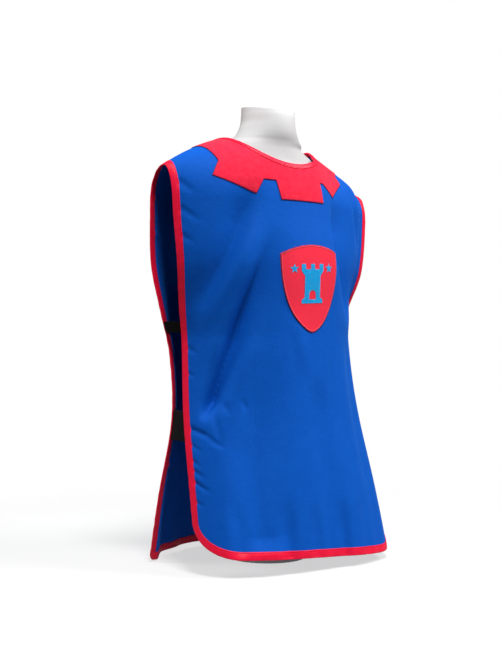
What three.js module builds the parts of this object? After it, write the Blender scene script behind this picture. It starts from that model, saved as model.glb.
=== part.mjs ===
// A child's play tabard worn by a limbless dress form. Millimetres, +Z up, the front faces -Y and +X is
// the wearer's left. The origin is the centre of the form's base plate, on the surface that it stands on.
//
// Every cloth piece is drawn flat and laid on one worn surface. A flat point is (s, h): s runs across the
// panel from its centre line, positive to the wearer's left, and h runs up it from the level of the back's
// hem. Below CHEST, h is a height. Above it, h goes on as the length of cloth that rises over the chest to
// the shoulder seam.
import * as THREE from "three";

// ---- driving dimensions ----
const HEM_CLEARANCE = 2.5; // back hem above the surface that the form stands on
const PANEL_HALF = 208; // half the width of the front and of the back
const CLOTH = 1.2; // wall of the blue cloth
const GAP = 0.3; // air between pieces that meet
const LIFT = 1.6; // air under a piece that lies on a panel
const EMBLEM_LIFT = 0.6; // air between the shield and its emblem

const CHEST = 552; // where the cloth starts to bend over towards the shoulder
const CHEST_SOFT = 45; // how far above and below CHEST the side profile eases into the bend
const SHOULDER_TOP = 666; // where the two shoulder lines would meet, at the neck
const SHOULDER_HALF = 190; // shoulder tip from the centre plane
const DROP_RIGHT = 61; // fall of the wearer's right shoulder line to its tip
const DROP_LEFT = 80; // and of the left one, which the form holds lower
const DROP_POWER = 2.2; // how round the right shoulder line is
const LEFT_BEND = 0.25; // the left one is straight beyond this share of its length
const LEFT_BEND_SOFT = 0.08; // and bends over this share

const NECK_OFFSET = -8; // the neck hole is pulled over to the wearer's right
const NECK_HALF = 86; // half the width of the neck hole, drawn flat
const NECK_DEPTH_FRONT = 88;
const NECK_DEPTH_BACK = 52;

const FRONT_HEM = 26; // front hem above the back's corners, at the wearer's right
const FRONT_HEM_FALL = 20; // how much lower it hangs at the wearer's left
const BACK_HEM_RISE = 7; // the back hem lifts this much between its corners
const BACK_HEM_RUN = 60; // within about this distance of them
const FRONT_CORNER_RUN = 75; // rounded lower corners of the front, along the hem
const FRONT_CORNER_RISE = 48; // and up the side
const BACK_CORNER = 13; // rounded lower corners of the back

const BINDING = 1.0; // wall of the tape that is folded over the edges
const TAPE_GAP = 0.8; // air between the tape's arms and the cloth that they hold
const NECK_TAPE_GAP = 1.6; // the same round the neck, where the tape bends most
const BINDING_WIDTH = 11;
const NECK_BINDING_WIDTH = 7.5;
const COLLAR = 1.0; // wall of the felt collar
const SHIELD = 1.0; // wall of the felt shield
const EMBLEM = 0.8; // wall of the emblem's felt

const SHIELD_HALF = 54;
const SHIELD_TOP = 485; // height of its crown
const SHIELD_CORNER = 473; // height of its top corners
const SHIELD_TIP = 352;
const SHIELD_TIP_HALF = 1;
const SHIELD_POWER = 2.35; // how low on its sides they curve in
const SHIELD_POINT = 0.6; // how sharp its tip is: 0.5 is round, and 1 is a straight sided point
const SHIELD_CENTRE = 5.5;
const SHIELD_TILT = 0.055; // rise towards the wearer's left, for each millimetre across

const STRAP = 1.4; // wall of the elastic
const STRAP_GAP = 0.8; // air between the elastic and the folded tape
const STRAP_REACH = 24; // length that is sewn down inside each panel

const BASE_RADIUS = 60;
const BASE_HEIGHT = 6;
const BASE_EDGE = 1.5; // bevel round its top
const POST_RADIUS = 11;

// ---- tables ----
// Plan of each panel at some levels. centre = distance of the centre line from the neck's axis, turn =
// degrees that the cloth has turned through at its side edge, late = how much of the turning is left to the
// edge (1 is even).
const FRONT_LEVELS = [
  { height: 0, centre: 148, turn: 83, late: 2.5 },
  { height: 100, centre: 137, turn: 77, late: 1.8 },
  { height: 220, centre: 121, turn: 72.5, late: 1.2 },
  { height: 340, centre: 112, turn: 74.5, late: 1.0 },
  { height: 390, centre: 110.5, turn: 68.5, late: 1.0 },
  { height: 460, centre: 112, turn: 57, late: 1.0 },
  { height: 552, centre: 99, turn: 47.5, late: 1.0 },
];
const BACK_LEVELS = [
  { height: 0, centre: 148, turn: 52.5, late: 1.0 },
  { height: 100, centre: 146, turn: 60.5, late: 1.0 },
  { height: 220, centre: 144, turn: 72, late: 1.0 },
  { height: 320, centre: 138, turn: 68, late: 1.0 },
  { height: 390, centre: 125, turn: 55, late: 1.0 },
  { height: 460, centre: 111, turn: 42, late: 1.0 },
  { height: 552, centre: 97, turn: 36.5, late: 1.0 },
];

// Soft hollows in the worn cloth. Each runs from (topS, top) down to (footS, foot), is right millimetres wide
// on the wearer's right of that line and left millimetres wide on its other side, and is depth deep. A
// negative depth is a swelling.
const FRONT_FOLDS = [
  { topS: 74, top: 700, footS: 130, foot: 360, right: 70, left: 96, depth: 12 }, // beside the left shoulder
  { topS: -66, top: 560, footS: -78, foot: 215, right: 42, left: 46, depth: 5.5 }, // below the right shoulder
  { topS: -108, top: 400, footS: -152, foot: 150, right: 30, left: 26, depth: 3.5 }, // down to the right side
  { topS: 16, top: 230, footS: 28, foot: -60, right: 34, left: 40, depth: 4 }, // waves towards the hem
  { topS: 112, top: 300, footS: 126, foot: -60, right: 30, left: 32, depth: 3.5 },
  { topS: -120, top: 170, footS: -116, foot: -60, right: 34, left: 40, depth: 3 },
  { topS: 196, top: 590, footS: 204, foot: 370, right: 70, left: 60, depth: -5 }, // out at the left side
];
const BACK_FOLDS = [
  { topS: -92, top: 490, footS: -56, foot: 240, right: 60, left: 54, depth: 7 },
  { topS: 96, top: 500, footS: 60, foot: 280, right: 50, left: 62, depth: 8 },
  { topS: 4, top: 480, footS: -14, foot: -60, right: 44, left: 38, depth: 7 },
  { topS: -118, top: 250, footS: -108, foot: -60, right: 40, left: 34, depth: 5 },
  { topS: 98, top: 220, footS: 118, foot: -60, right: 36, left: 42, depth: 6 },
];

// Outer outlines of the battlemented collar, from the wearer's right shoulder seam to the left one.
const COLLAR_SEAM = { right: -146, left: 138 };
const COLLAR_FRONT = [
  { s: -131, h: 606 },
  { s: -145, h: 582 },
  { s: -80, h: 560 },
  { s: -67, h: 581 },
  { s: -47, h: 580 },
  { s: -41, h: 552 },
  { s: 38, h: 552 },
  { s: 35, h: 582 },
  { s: 43, h: 583 },
  { s: 75, h: 567 },
  { s: 118, h: 600 },
  { s: 117, h: 620 },
];
const COLLAR_BACK = [
  { s: -128, h: 624 },
  { s: -142, h: 600 },
  { s: -80, h: 584 },
  { s: -67, h: 607 },
  { s: -47, h: 608 },
  { s: -41, h: 580 },
  { s: 33, h: 580 },
  { s: 27, h: 608 },
  { s: 44, h: 607 },
  { s: 56, h: 584 },
  { s: 118, h: 602 },
  { s: 116, h: 624 },
];

// Elastics between the side edges of the front and the back, the same on both sides.
const STRAPS = [
  { name: "upper", middle: 360, width: 17 },
  { name: "lower", middle: 211, width: 45 },
];

// Sections of the form. right and left = half widths on each side of the centre plane, depth = half depth,
// centre = how far forward the section's middle is, fall = how far below SHOULDER_TOP it is.
const FORM_SECTIONS = [
  { height: 150, right: 108, left: 108, depth: 76, centre: 0 },
  { height: 158, right: 118, left: 118, depth: 83, centre: 0 },
  { height: 190, right: 124, left: 124, depth: 88, centre: 0 },
  { height: 260, right: 116, left: 116, depth: 82, centre: 0 },
  { height: 330, right: 106, left: 106, depth: 74, centre: 0 },
  { height: 400, right: 110, left: 110, depth: 75, centre: 0 },
  { height: 470, right: 122, left: 120, depth: 76, centre: 0 },
  { height: 530, right: 136, left: 132, depth: 72, centre: 0 },
  { height: 570, right: 146, left: 140, depth: 64, centre: 0 },
];
const FORM_SHOULDERS = [
  { fall: 52, depth: 56 },
  { fall: 42, depth: 51 },
  { fall: 33, depth: 48 },
  { fall: 25, depth: 46 },
  { fall: 19, depth: 45 },
];
const FORM_NECK = [
  { height: 655, right: 72, left: 60, depth: 45, centre: 0 },
  { height: 662, right: 61, left: 54, depth: 45, centre: 1 },
  { height: 669, right: 54, left: 50, depth: 45, centre: 1.5 },
  { height: 677, right: 49, left: 46.5, depth: 44.5, centre: 2 },
  { height: 687, right: 45, left: 44, depth: 44, centre: 2.5 },
  { height: 700, right: 43.5, left: 43, depth: 43.5, centre: 3 },
  { height: 712, right: 43, left: 43, depth: 43, centre: 3 },
  { height: 714, right: 41.5, left: 41.5, depth: 41.5, centre: 3 },
];
const NECK_CAP_SLANT = 0.15; // the neck's cap is lower in front, by this much for each millimetre
const FORM_SHOULDER_HALF = 150; // most that the form's right shoulder reaches
const FORM_CLEARANCE = 5; // form below the middle of the cloth at the shoulders
const FORM_LEFT_LOWER = 6; // and this much more under the hollow beside the wearer's left shoulder
const FORM_SIDES = 36;

// ---- the worn surface ----
// Smooth value of one column at a height, by cubic pieces through the rows.
function level(rows, key, height) {
  const last = rows.length - 1;
  const z = THREE.MathUtils.clamp(height, rows[0].height, rows[last].height);
  let i = 0;
  while (i < last - 1 && z > rows[i + 1].height) i += 1;
  const slope = (k) => {
    const a = rows[Math.max(k - 1, 0)];
    const b = rows[Math.min(k + 1, last)];
    return (b[key] - a[key]) / (b.height - a.height);
  };
  const span = rows[i + 1].height - rows[i].height;
  const t = (z - rows[i].height) / span;
  const t2 = t * t;
  const t3 = t2 * t;
  return (
    (2 * t3 - 3 * t2 + 1) * rows[i][key] +
    (t3 - 2 * t2 + t) * span * slope(i) +
    (3 * t2 - 2 * t3) * rows[i + 1][key] +
    (t3 - t2) * span * slope(i + 1)
  );
}

// Plan at a height: square to the centre plane at s = 0, heading turn * (s / half) ** late further out.
const TURN_STEPS = 12;
function section(rows, s, height) {
  const turn = THREE.MathUtils.degToRad(level(rows, "turn", height));
  const late = level(rows, "late", height);
  const ds = Math.abs(s) / TURN_STEPS;
  let across = 0;
  let inward = 0;
  for (let k = 0; k < TURN_STEPS; k += 1) {
    const heading = turn * (((k + 0.5) * ds) / PANEL_HALF) ** late;
    across += Math.cos(heading) * ds;
    inward += Math.sin(heading) * ds;
  }
  return { x: Math.sign(s) * across, out: level(rows, "centre", height) - inward };
}

// Height of the shoulder line at x. The left one is a branch of a hyperbola: level, a bend and a straight
// fall.
function shoulder(x) {
  const u = Math.abs(x) / SHOULDER_HALF;
  if (x <= 0) return SHOULDER_TOP - DROP_RIGHT * u ** DROP_POWER;
  const beyond = u - LEFT_BEND;
  return SHOULDER_TOP - (DROP_LEFT * (beyond + Math.hypot(beyond, LEFT_BEND_SOFT))) / (2 * (1 - LEFT_BEND));
}

// How far out the shoulder lines are this far below SHOULDER_TOP.
const rightReach = (fall) => SHOULDER_HALF * (fall / DROP_RIGHT) ** (1 / DROP_POWER);
const leftReach = (fall) => {
  const both = (2 * (1 - LEFT_BEND) * fall) / DROP_LEFT;
  return SHOULDER_HALF * (LEFT_BEND + (both - LEFT_BEND_SOFT ** 2 / both) / 2);
};

// How deep the hollows are at (s, h). Each fades in above its foot and out above its top, and all of them die
// out towards the shoulder seam.
const FOOT_FADE = 90;
const TOP_FADE = 60;
const SEAM_FADE = 55;
function hollow(folds, s, h, seam) {
  const ease = (t) => THREE.MathUtils.smoothstep(t, 0, 1);
  let depth = 0;
  for (const fold of folds) {
    const line = THREE.MathUtils.mapLinear(h, fold.foot, fold.top, fold.footS, fold.topS);
    const u = (s - line) / (s < line ? fold.right : fold.left);
    if (Math.abs(u) >= 1) continue;
    const below = ease((h - fold.foot) / FOOT_FADE);
    const above = ease((fold.top - h) / TOP_FADE + 1) * ease((seam - h) / SEAM_FADE);
    depth += (fold.depth * below * above * (1 + Math.cos(Math.PI * u))) / 2;
  }
  return depth;
}

// side is -1 for the front and +1 for the back. Near CHEST the plan is taken from a height that eases out.
function makePanel(rows, folds, side) {
  const planHeight = (h) => {
    const over = THREE.MathUtils.clamp(h - CHEST + CHEST_SOFT, 0, 2 * CHEST_SOFT);
    return Math.min(h, CHEST + CHEST_SOFT) - over ** 2 / (4 * CHEST_SOFT);
  };
  // The cloth leaves the vertical at CHEST and reaches the shoulder line along a quarter of an ellipse.
  const arch = (s) => {
    const { out } = section(rows, s, CHEST);
    const u = Math.abs(s) / PANEL_HALF;
    const x = Math.sign(s) * (Math.abs(s) - (PANEL_HALF - SHOULDER_HALF) * u ** 2);
    const rise = shoulder(x) - CHEST;
    const length = (Math.PI / 2) * Math.sqrt((rise * rise + out * out) / 2);
    return { x, rise, length };
  };
  const seam = (s) => CHEST + arch(s).length;
  const smooth = (s, h) => {
    const plan = section(rows, s, planHeight(h));
    if (h <= CHEST) return new THREE.Vector3(plan.x, side * plan.out, h);
    const { x, rise, length } = arch(s);
    const angle = ((h - CHEST) / length) * (Math.PI / 2);
    const lean = Math.cos(angle);
    return new THREE.Vector3(
      THREE.MathUtils.lerp(x, plan.x, lean),
      side * plan.out * lean,
      CHEST + rise * Math.sin(angle),
    );
  };
  const normalOf = (surface, s, h) => {
    const across = surface(s + 1, h).sub(surface(s - 1, h));
    const up = surface(s, h + 1).sub(surface(s, h - 1));
    return across.cross(up).multiplyScalar(-side).normalize();
  };
  const worn = (s, h) => {
    const depth = hollow(folds, s, h, seam(s));
    const at = smooth(s, h);
    return depth === 0 ? at : at.addScaledVector(normalOf(smooth, s, h), -depth);
  };
  // The point off millimetres outside the middle of the cloth.
  const point = (s, h, off) => {
    const at = worn(s, h).addScaledVector(normalOf(worn, s, h), off);
    at.z += HEM_CLEARANCE;
    return at;
  };
  return { seam, point, side };
}
const front = makePanel(FRONT_LEVELS, FRONT_FOLDS, -1);
const back = makePanel(BACK_LEVELS, BACK_FOLDS, 1);
const neckEnds = { right: NECK_OFFSET - NECK_HALF, left: NECK_OFFSET + NECK_HALF };

// ---- closed solids ----
const range = (count) => Array.from({ length: count + 1 }, (_, k) => k / count);

function solid(position, index) {
  const geometry = new THREE.BufferGeometry();
  geometry.setAttribute("position", new THREE.Float32BufferAttribute(position, 3));
  geometry.setIndex(index);
  geometry.computeVertexNormals();
  return geometry;
}

// A wall from a flat drawing. points = [[s, h], ...]; cells list their corners anticlockwise as seen with +s
// to the right and +h up. Each point is laid on the panel at two depths, and the drawing's open edges get a
// wall.
function slab(panel, { points, cells }, low, high) {
  const count = points.length;
  const position = [];
  for (const off of [low, high]) {
    for (const [s, h] of points) position.push(...panel.point(s, h, off).toArray());
  }
  const index = [];
  const edges = new Set();
  for (const cell of cells) {
    for (let k = 1; k < cell.length - 1; k += 1) {
      index.push(cell[0] + count, cell[k] + count, cell[k + 1] + count);
      index.push(cell[0], cell[k + 1], cell[k]);
    }
    cell.forEach((a, k) => edges.add(`${a},${cell[(k + 1) % cell.length]}`));
  }
  for (const edge of edges) {
    const [a, b] = edge.split(",").map(Number);
    if (edges.has(`${b},${a}`)) continue;
    index.push(a, b, b + count, a, b + count, a + count);
  }
  return solid(position, panel.side > 0 ? index.toReversed() : index);
}

// Joins rows of equal length into cells. Rows run upwards, and each runs towards +s.
function joinRows(rows) {
  const width = rows[0].length;
  const cells = [];
  for (let r = 0; r < rows.length - 1; r += 1) {
    for (let c = 0; c < width - 1; c += 1) {
      const a = r * width + c;
      cells.push([a, a + 1, a + 1 + width, a + width]);
    }
  }
  return { points: rows.flat(), cells, rows };
}

// A flat outline, with holes, cut into triangles whose edges are at most longest millimetres.
function cutOut(outline, holes, longest) {
  const vectors = [outline, ...holes].map((ring) => ring.map(([s, h]) => new THREE.Vector2(s, h)));
  if (THREE.ShapeUtils.isClockWise(vectors[0])) vectors[0].reverse();
  const points = vectors.flat().map((v) => [v.x, v.y]);
  let cells = THREE.ShapeUtils.triangulateShape(vectors[0], vectors.slice(1));
  const length = (a, b) => Math.hypot(points[a][0] - points[b][0], points[a][1] - points[b][1]);
  const middles = new Map();
  const middle = (a, b) => {
    const key = a < b ? `${a},${b}` : `${b},${a}`;
    if (!middles.has(key)) {
      points.push([(points[a][0] + points[b][0]) / 2, (points[a][1] + points[b][1]) / 2]);
      middles.set(key, points.length - 1);
    }
    return middles.get(key);
  };
  // Each pass halves the longest edge in the drawing and the one or two triangles on it.
  for (;;) {
    let worst = { size: longest };
    for (const cell of cells) {
      cell.forEach((a, k) => {
        const b = cell[(k + 1) % 3];
        if (length(a, b) > worst.size) worst = { size: length(a, b), a, b };
      });
    }
    if (worst.a === undefined) return { points, cells };
    const { a, b } = worst;
    cells = cells.flatMap((cell) => {
      if (!cell.includes(a) || !cell.includes(b)) return [cell];
      const m = middle(a, b);
      return [cell.map((v) => (v === a ? m : v)), cell.map((v) => (v === b ? m : v))];
    });
  }
}

// A tape folded over an edge, from one shoulder seam to the other. path = points on the edge, each with the
// flat direction into the cloth. The fold runs GAP outside the edge, and the near faces of the tape's two
// arms are at the depths outerArm and innerArm.
function foldedTape(panel, path, width, outerArm, innerArm) {
  const profile = [
    [width, outerArm + BINDING],
    [width, outerArm],
    [-GAP, outerArm],
    [-GAP, innerArm],
    [width, innerArm],
    [width, innerArm - BINDING],
    [-GAP - BINDING, innerArm - BINDING],
    [-GAP - BINDING, outerArm + BINDING],
  ];
  const sides = profile.length;
  const position = [];
  path.forEach(({ s, h, ds, dh }, k) => {
    const atSeam = k === 0 || k === path.length - 1;
    for (const [into, off] of profile) {
      const across = s + into * ds;
      const height = atSeam ? panel.seam(across) - GAP : h + into * dh;
      position.push(...panel.point(across, height, off).toArray());
    }
  });
  const index = [];
  for (let k = 0; k < path.length - 1; k += 1) {
    for (let j = 0; j < sides; j += 1) {
      const a = k * sides + j;
      const b = k * sides + ((j + 1) % sides);
      index.push(a, b, b + sides, a, b + sides, a + sides);
    }
  }
  const last = (path.length - 1) * sides;
  for (const [a, b, c, d] of [[0, 1, 2, 7], [7, 2, 3, 6], [6, 3, 4, 5]]) {
    index.push(a, c, b, a, d, c);
    index.push(last + a, last + b, last + c, last + a, last + c, last + d);
  }
  return solid(position, panel.side > 0 ? index : index.toReversed());
}

// ---- the panels ----
// Height of the neck hole's edge: half an ellipse below the line between its two ends on the seam.
const neckEdge = (panel, depth, s) => {
  const u = THREE.MathUtils.clamp((s - NECK_OFFSET) / NECK_HALF, -1, 1);
  const line = THREE.MathUtils.lerp(panel.seam(neckEnds.right), panel.seam(neckEnds.left), (u + 1) / 2);
  return line - GAP / 2 - depth * Math.sqrt(1 - u * u);
};

// A quarter of an ellipse at a lower corner: the further in from the side, the lower the edge.
const cornerRise = (run, rise, s) => {
  const u = Math.max(0, 1 - (PANEL_HALF - Math.abs(s)) / run);
  return rise * (1 - Math.sqrt(1 - u * u));
};
const frontHem = (s) => FRONT_HEM - FRONT_HEM_FALL * ((s + PANEL_HALF) / (2 * PANEL_HALF)) ** 1.5;
const backHem = (s) => BACK_HEM_RISE * (1 - Math.exp((Math.abs(s) - PANEL_HALF) / BACK_HEM_RUN));
const frontLow = (s) => frontHem(s) + cornerRise(FRONT_CORNER_RUN, FRONT_CORNER_RISE, s);
const backLow = (s) => backHem(s) + cornerRise(BACK_CORNER, BACK_CORNER, s);

// Columns of a panel, from the wearer's right edge to the left: corner, shoulder, neck hole, shoulder and
// corner.
const HOLE_STEPS = 16;
function columns(run, cornerSteps, shoulderStep) {
  const inset = range(cornerSteps).map((t) => PANEL_HALF - run * (1 - Math.cos((t * Math.PI) / 2)));
  const between = (from, to) => {
    const count = Math.max(1, Math.round((to - from) / shoulderStep));
    return range(count).map((t) => THREE.MathUtils.lerp(from, to, t));
  };
  const hole = range(HOLE_STEPS).map((t) => NECK_OFFSET - NECK_HALF * Math.cos(t * Math.PI));
  return [
    ...inset.map((s) => -s),
    ...between(run - PANEL_HALF, neckEnds.right).slice(1, -1),
    ...hole,
    ...between(neckEnds.left, PANEL_HALF - run).slice(1, -1),
    ...inset.toReversed(),
  ];
}

// Rows of a panel: a few that follow the hem up to LEVEL, level ones up to CHEST, and the ones over the
// shoulder.
const LEVEL = 80;
const HEM_ROWS = [0, 0.18, 1];
const LEVEL_HEIGHTS = [155, 230, 290, 335, 375, 420, 480, CHEST]; // closer where the sides come in
const SHOULDER_ROWS = [0.13, 0.25, 0.37, 0.48, 0.59, 0.69, 0.79, 0.88, 0.95, 1];

function panelGrid(panel, across, low, depth) {
  const inHole = (s) => s > neckEnds.right && s < neckEnds.left;
  const top = (s) => (inHole(s) ? neckEdge(panel, depth, s) : panel.seam(s) - GAP / 2);
  const row = (t, from, to) => across.map((s) => [s, THREE.MathUtils.lerp(from(s), to(s), t)]);
  return joinRows([
    ...HEM_ROWS.map((t) => row(t, low, () => LEVEL)),
    ...LEVEL_HEIGHTS.map((h) => across.map((s) => [s, h])),
    ...SHOULDER_ROWS.map((t) => row(t, () => CHEST, top)),
  ]);
}

// The points along an edge with the flat direction that is square to it, turned to the left of travel.
function edgePath(points) {
  return points.map(([s, h], k) => {
    const [s0, h0] = points[Math.max(k - 1, 0)];
    const [s1, h1] = points[Math.min(k + 1, points.length - 1)];
    const length = Math.hypot(s1 - s0, h1 - h0);
    return { s, h, ds: (h0 - h1) / length, dh: (s1 - s0) / length };
  });
}

const frontGrid = panelGrid(front, columns(FRONT_CORNER_RUN, 5, 20), frontLow, NECK_DEPTH_FRONT);
const backGrid = panelGrid(back, columns(BACK_CORNER, 3, 26), backLow, NECK_DEPTH_BACK);

// Down the wearer's right side, along the hem and up the left side. Over the shoulder, where the cloth bends
// most, the tape's arms lie along the panel's own rows.
function outerPath({ rows }) {
  const right = rows.map((row) => row[0]).toReversed();
  const left = rows.map((row) => row.at(-1));
  const path = edgePath([...right, ...rows[0].slice(1, -1), ...left]);
  const alongRow = ([s, h], [farS, farH]) => {
    const length = Math.hypot(farS - s, farH - h);
    return { s, h, ds: (farS - s) / length, dh: (farH - h) / length };
  };
  const beyondTape = ([s]) => PANEL_HALF - Math.abs(s) >= BINDING_WIDTH;
  rows.slice(-SHOULDER_ROWS.length).toReversed().forEach((row, k) => {
    path[k] = alongRow(row[0], row.find(beyondTape));
    path[path.length - 1 - k] = alongRow(row.at(-1), row.findLast(beyondTape));
  });
  return path;
}

// Round the neck hole from the wearer's left to the right, so that the cloth is on the left of travel.
const SAME = 1e-6;
function neckPath({ rows }) {
  const edge = rows.at(-1).filter(([s]) => s > neckEnds.right - SAME && s < neckEnds.left + SAME);
  return edgePath(edge.toReversed());
}

// ---- the collar ----
// Stations along the battlements, each joined to a point round the neck hole, COLLAR_EASE outside its edge.
const COLLAR_EASE = 1;
const COLLAR_STEP = 16;
const COLLAR_ROWS = [0, 0.4, 0.76, 1];
function collarFlat(panel, corners, depth) {
  const { lerp } = THREE.MathUtils;
  const seamPoint = (s) => ({ s, h: panel.seam(s) - GAP / 2 });
  const outline = [seamPoint(COLLAR_SEAM.right), ...corners, seamPoint(COLLAR_SEAM.left)];
  const outer = [outline[0]];
  for (let k = 1; k < outline.length; k += 1) {
    const from = outline[k - 1];
    const to = outline[k];
    const count = Math.ceil(Math.hypot(to.s - from.s, to.h - from.h) / COLLAR_STEP);
    for (const t of range(count).slice(1)) {
      outer.push({ s: lerp(from.s, to.s, t), h: lerp(from.h, to.h, t) });
    }
  }
  // The angle of each station round the middle of the hole, 0 straight down, stretched to end at the seams.
  const middle = (panel.seam(neckEnds.right) + panel.seam(neckEnds.left)) / 2;
  const angles = outer.map(({ s, h }) => Math.atan2(depth * (s - NECK_OFFSET), NECK_HALF * (middle - h)));
  const stretch = (angle) => (angle * Math.PI) / 2 / Math.abs(angle < 0 ? angles[0] : angles.at(-1));
  const inner = angles.map((angle) => {
    const round = stretch(angle);
    const s = NECK_OFFSET + (NECK_HALF + COLLAR_EASE) * Math.sin(round);
    const edge = neckEdge(panel, depth, NECK_OFFSET + NECK_HALF * Math.sin(round));
    return { s, h: Math.min(edge - COLLAR_EASE * Math.cos(round), panel.seam(s) - GAP / 2) };
  });
  const between = (t) => outer.map((at, k) => [lerp(at.s, inner[k].s, t), lerp(at.h, inner[k].h, t)]);
  return joinRows(COLLAR_ROWS.map(between));
}

// ---- the shield and its emblem ----
// A flat point from its distance across the shield's centre line and its height on it.
const onShield = ([across, h]) => [SHIELD_CENTRE + across, h + SHIELD_TILT * across];

// Heater shield: an arched top, and sides that curve in to the tip.
function shieldFlat() {
  const rise = SHIELD_TOP - SHIELD_CORNER;
  const rows = range(9).toReversed().map((t) => {
    const half = Math.max(SHIELD_HALF * (1 - t ** SHIELD_POWER) ** SHIELD_POINT, SHIELD_TIP_HALF);
    return range(6).map((u) => {
      const across = (2 * u - 1) * half;
      const arch = rise * (1 - t) * (1 - (across / SHIELD_HALF) ** 2);
      return onShield([across, THREE.MathUtils.lerp(SHIELD_CORNER, SHIELD_TIP, t) + arch]);
    });
  });
  return joinRows(rows);
}

// Longest edge of a triangle in the emblem, short enough for it to follow the shield.
const TOWER_EDGE = 20;
const STAR_EDGE = 13;

// A battlemented tower with an arched door. Heights are above its foot, and tooth is a merlon's width.
const TOWER = {
  foot: 396,
  half: 15,
  footHalf: 20,
  footHeight: 6,
  plinth: 9,
  neck: 42,
  crownHalf: 21,
  crown: 49,
  notch: 52,
  top: 60,
  tooth: 8,
};
const DOOR = { half: 6, height: 14 };
function towerFlat() {
  const { foot, half, footHalf, footHeight, plinth, neck, crownHalf, crown, notch, top, tooth } = TOWER;
  const leftHalf = [
    [footHalf, 0],
    [footHalf, footHeight],
    [half, plinth],
    [half, neck],
    [crownHalf, crown],
    [crownHalf, top],
    [crownHalf - tooth, top],
    [crownHalf - tooth, notch],
    [tooth / 2, notch],
    [tooth / 2, top],
  ];
  const rightHalf = leftHalf.map(([s, h]) => [-s, h]).toReversed();
  const arch = range(6).map((t) => {
    const angle = t * Math.PI;
    return [DOOR.half * Math.cos(angle), DOOR.height + DOOR.half * Math.sin(angle)];
  });
  const door = [[-DOOR.half, footHeight], [DOOR.half, footHeight], ...arch];
  const place = ([across, h]) => onShield([across, foot + h]);
  return cutOut([...leftHalf, ...rightHalf].map(place), [door.map(place).toReversed()], TOWER_EDGE);
}

const STAR = { across: 33, height: 449, outer: 8, inner: 3.4 };
function starFlat(side) {
  const ring = range(10).slice(0, -1).map((t, k) => {
    const radius = k % 2 ? STAR.inner : STAR.outer;
    const angle = Math.PI / 2 + t * 2 * Math.PI;
    return onShield([side * STAR.across + radius * Math.cos(angle), STAR.height + radius * Math.sin(angle)]);
  });
  return cutOut(ring, [], STAR_EDGE);
}

// ---- the elastics ----
// A band from inside the front to inside the back, clear of the folded tape on both edges. Its flat drawing
// runs from 0 at the front's end to 1 at the back's, and it follows both panels at every height.
const STRAP_INSETS = [1, 0.6, 0.2, -0.15]; // stations inside each side edge, as shares of STRAP_REACH
const STRAP_STEP = 20; // most between its rows
function strap(side, middle, width) {
  const inside = -(CLOTH / 2 + TAPE_GAP + BINDING + STRAP_GAP + STRAP / 2);
  const insets = STRAP_INSETS.map((t) => t * STRAP_REACH);
  const curveAt = (h) => {
    const from = (panel) => insets.map((inset) => panel.point(side * (PANEL_HALF - inset), h, inside));
    return new THREE.CatmullRomCurve3([...from(front), ...from(back).toReversed()], false, "centripetal");
  };
  const point = (t, h, off) => {
    const curve = curveAt(h);
    const along = curve.getTangentAt(t).setZ(0).normalize();
    return curve.getPointAt(t).add(new THREE.Vector3(along.y, -along.x, 0).multiplyScalar(side * off));
  };
  const heights = range(Math.ceil(width / STRAP_STEP)).map((t) => middle + width * (t - 0.5));
  const flat = joinRows(heights.map((h) => range(8).map((t) => [t, h])));
  return slab({ point, side: -side }, flat, -STRAP / 2, STRAP / 2);
}

// ---- the dress form ----
function formTorso() {
  const shoulders = FORM_SHOULDERS.map(({ fall, depth }) => ({
    height: SHOULDER_TOP - fall,
    right: Math.min(rightReach(fall - FORM_CLEARANCE), FORM_SHOULDER_HALF),
    left: Math.max(leftReach(fall - FORM_CLEARANCE - FORM_LEFT_LOWER), FORM_NECK[0].left),
    depth,
    centre: 0,
  }));
  const sections = [...FORM_SECTIONS, ...shoulders, ...FORM_NECK];
  const position = [];
  const index = [];
  const capFrom = sections.length - 2;
  sections.forEach(({ height, right, left, depth, centre }, row) => {
    for (let k = 0; k < FORM_SIDES; k += 1) {
      const angle = (k / FORM_SIDES) * 2 * Math.PI;
      const x = (Math.cos(angle) > 0 ? left : right) * Math.cos(angle);
      const y = depth * Math.sin(angle);
      const slant = row >= capFrom ? NECK_CAP_SLANT * y : 0;
      position.push(x, y - centre, height + slant + HEM_CLEARANCE);
    }
  });
  for (let row = 0; row < sections.length - 1; row += 1) {
    for (let k = 0; k < FORM_SIDES; k += 1) {
      const a = row * FORM_SIDES + k;
      const b = row * FORM_SIDES + ((k + 1) % FORM_SIDES);
      index.push(a, b, b + FORM_SIDES, a, b + FORM_SIDES, a + FORM_SIDES);
    }
  }
  const top = (sections.length - 1) * FORM_SIDES;
  for (let k = 1; k < FORM_SIDES - 1; k += 1) {
    index.push(0, k + 1, k);
    index.push(top, top + k, top + k + 1);
  }
  return solid(position, index);
}

// A solid of revolution. profile = [[radius, height], ...] from the axis at the foot to the axis at the top.
function turned(profile, sides) {
  const geometry = new THREE.LatheGeometry(profile.map(([r, z]) => new THREE.Vector2(r, z)), sides);
  geometry.rotateX(Math.PI / 2);
  return geometry;
}

function formPost() {
  const foot = BASE_HEIGHT + GAP;
  const head = FORM_SECTIONS[0].height + HEM_CLEARANCE - GAP;
  return turned([[0, foot], [POST_RADIUS, foot], [POST_RADIUS, head], [0, head]], 24);
}

function formBase() {
  const profile = [
    [0, 0],
    [BASE_RADIUS, 0],
    [BASE_RADIUS, BASE_HEIGHT - BASE_EDGE],
    [BASE_RADIUS - BASE_EDGE, BASE_HEIGHT],
    [0, BASE_HEIGHT],
  ];
  return turned(profile, 48);
}

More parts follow.
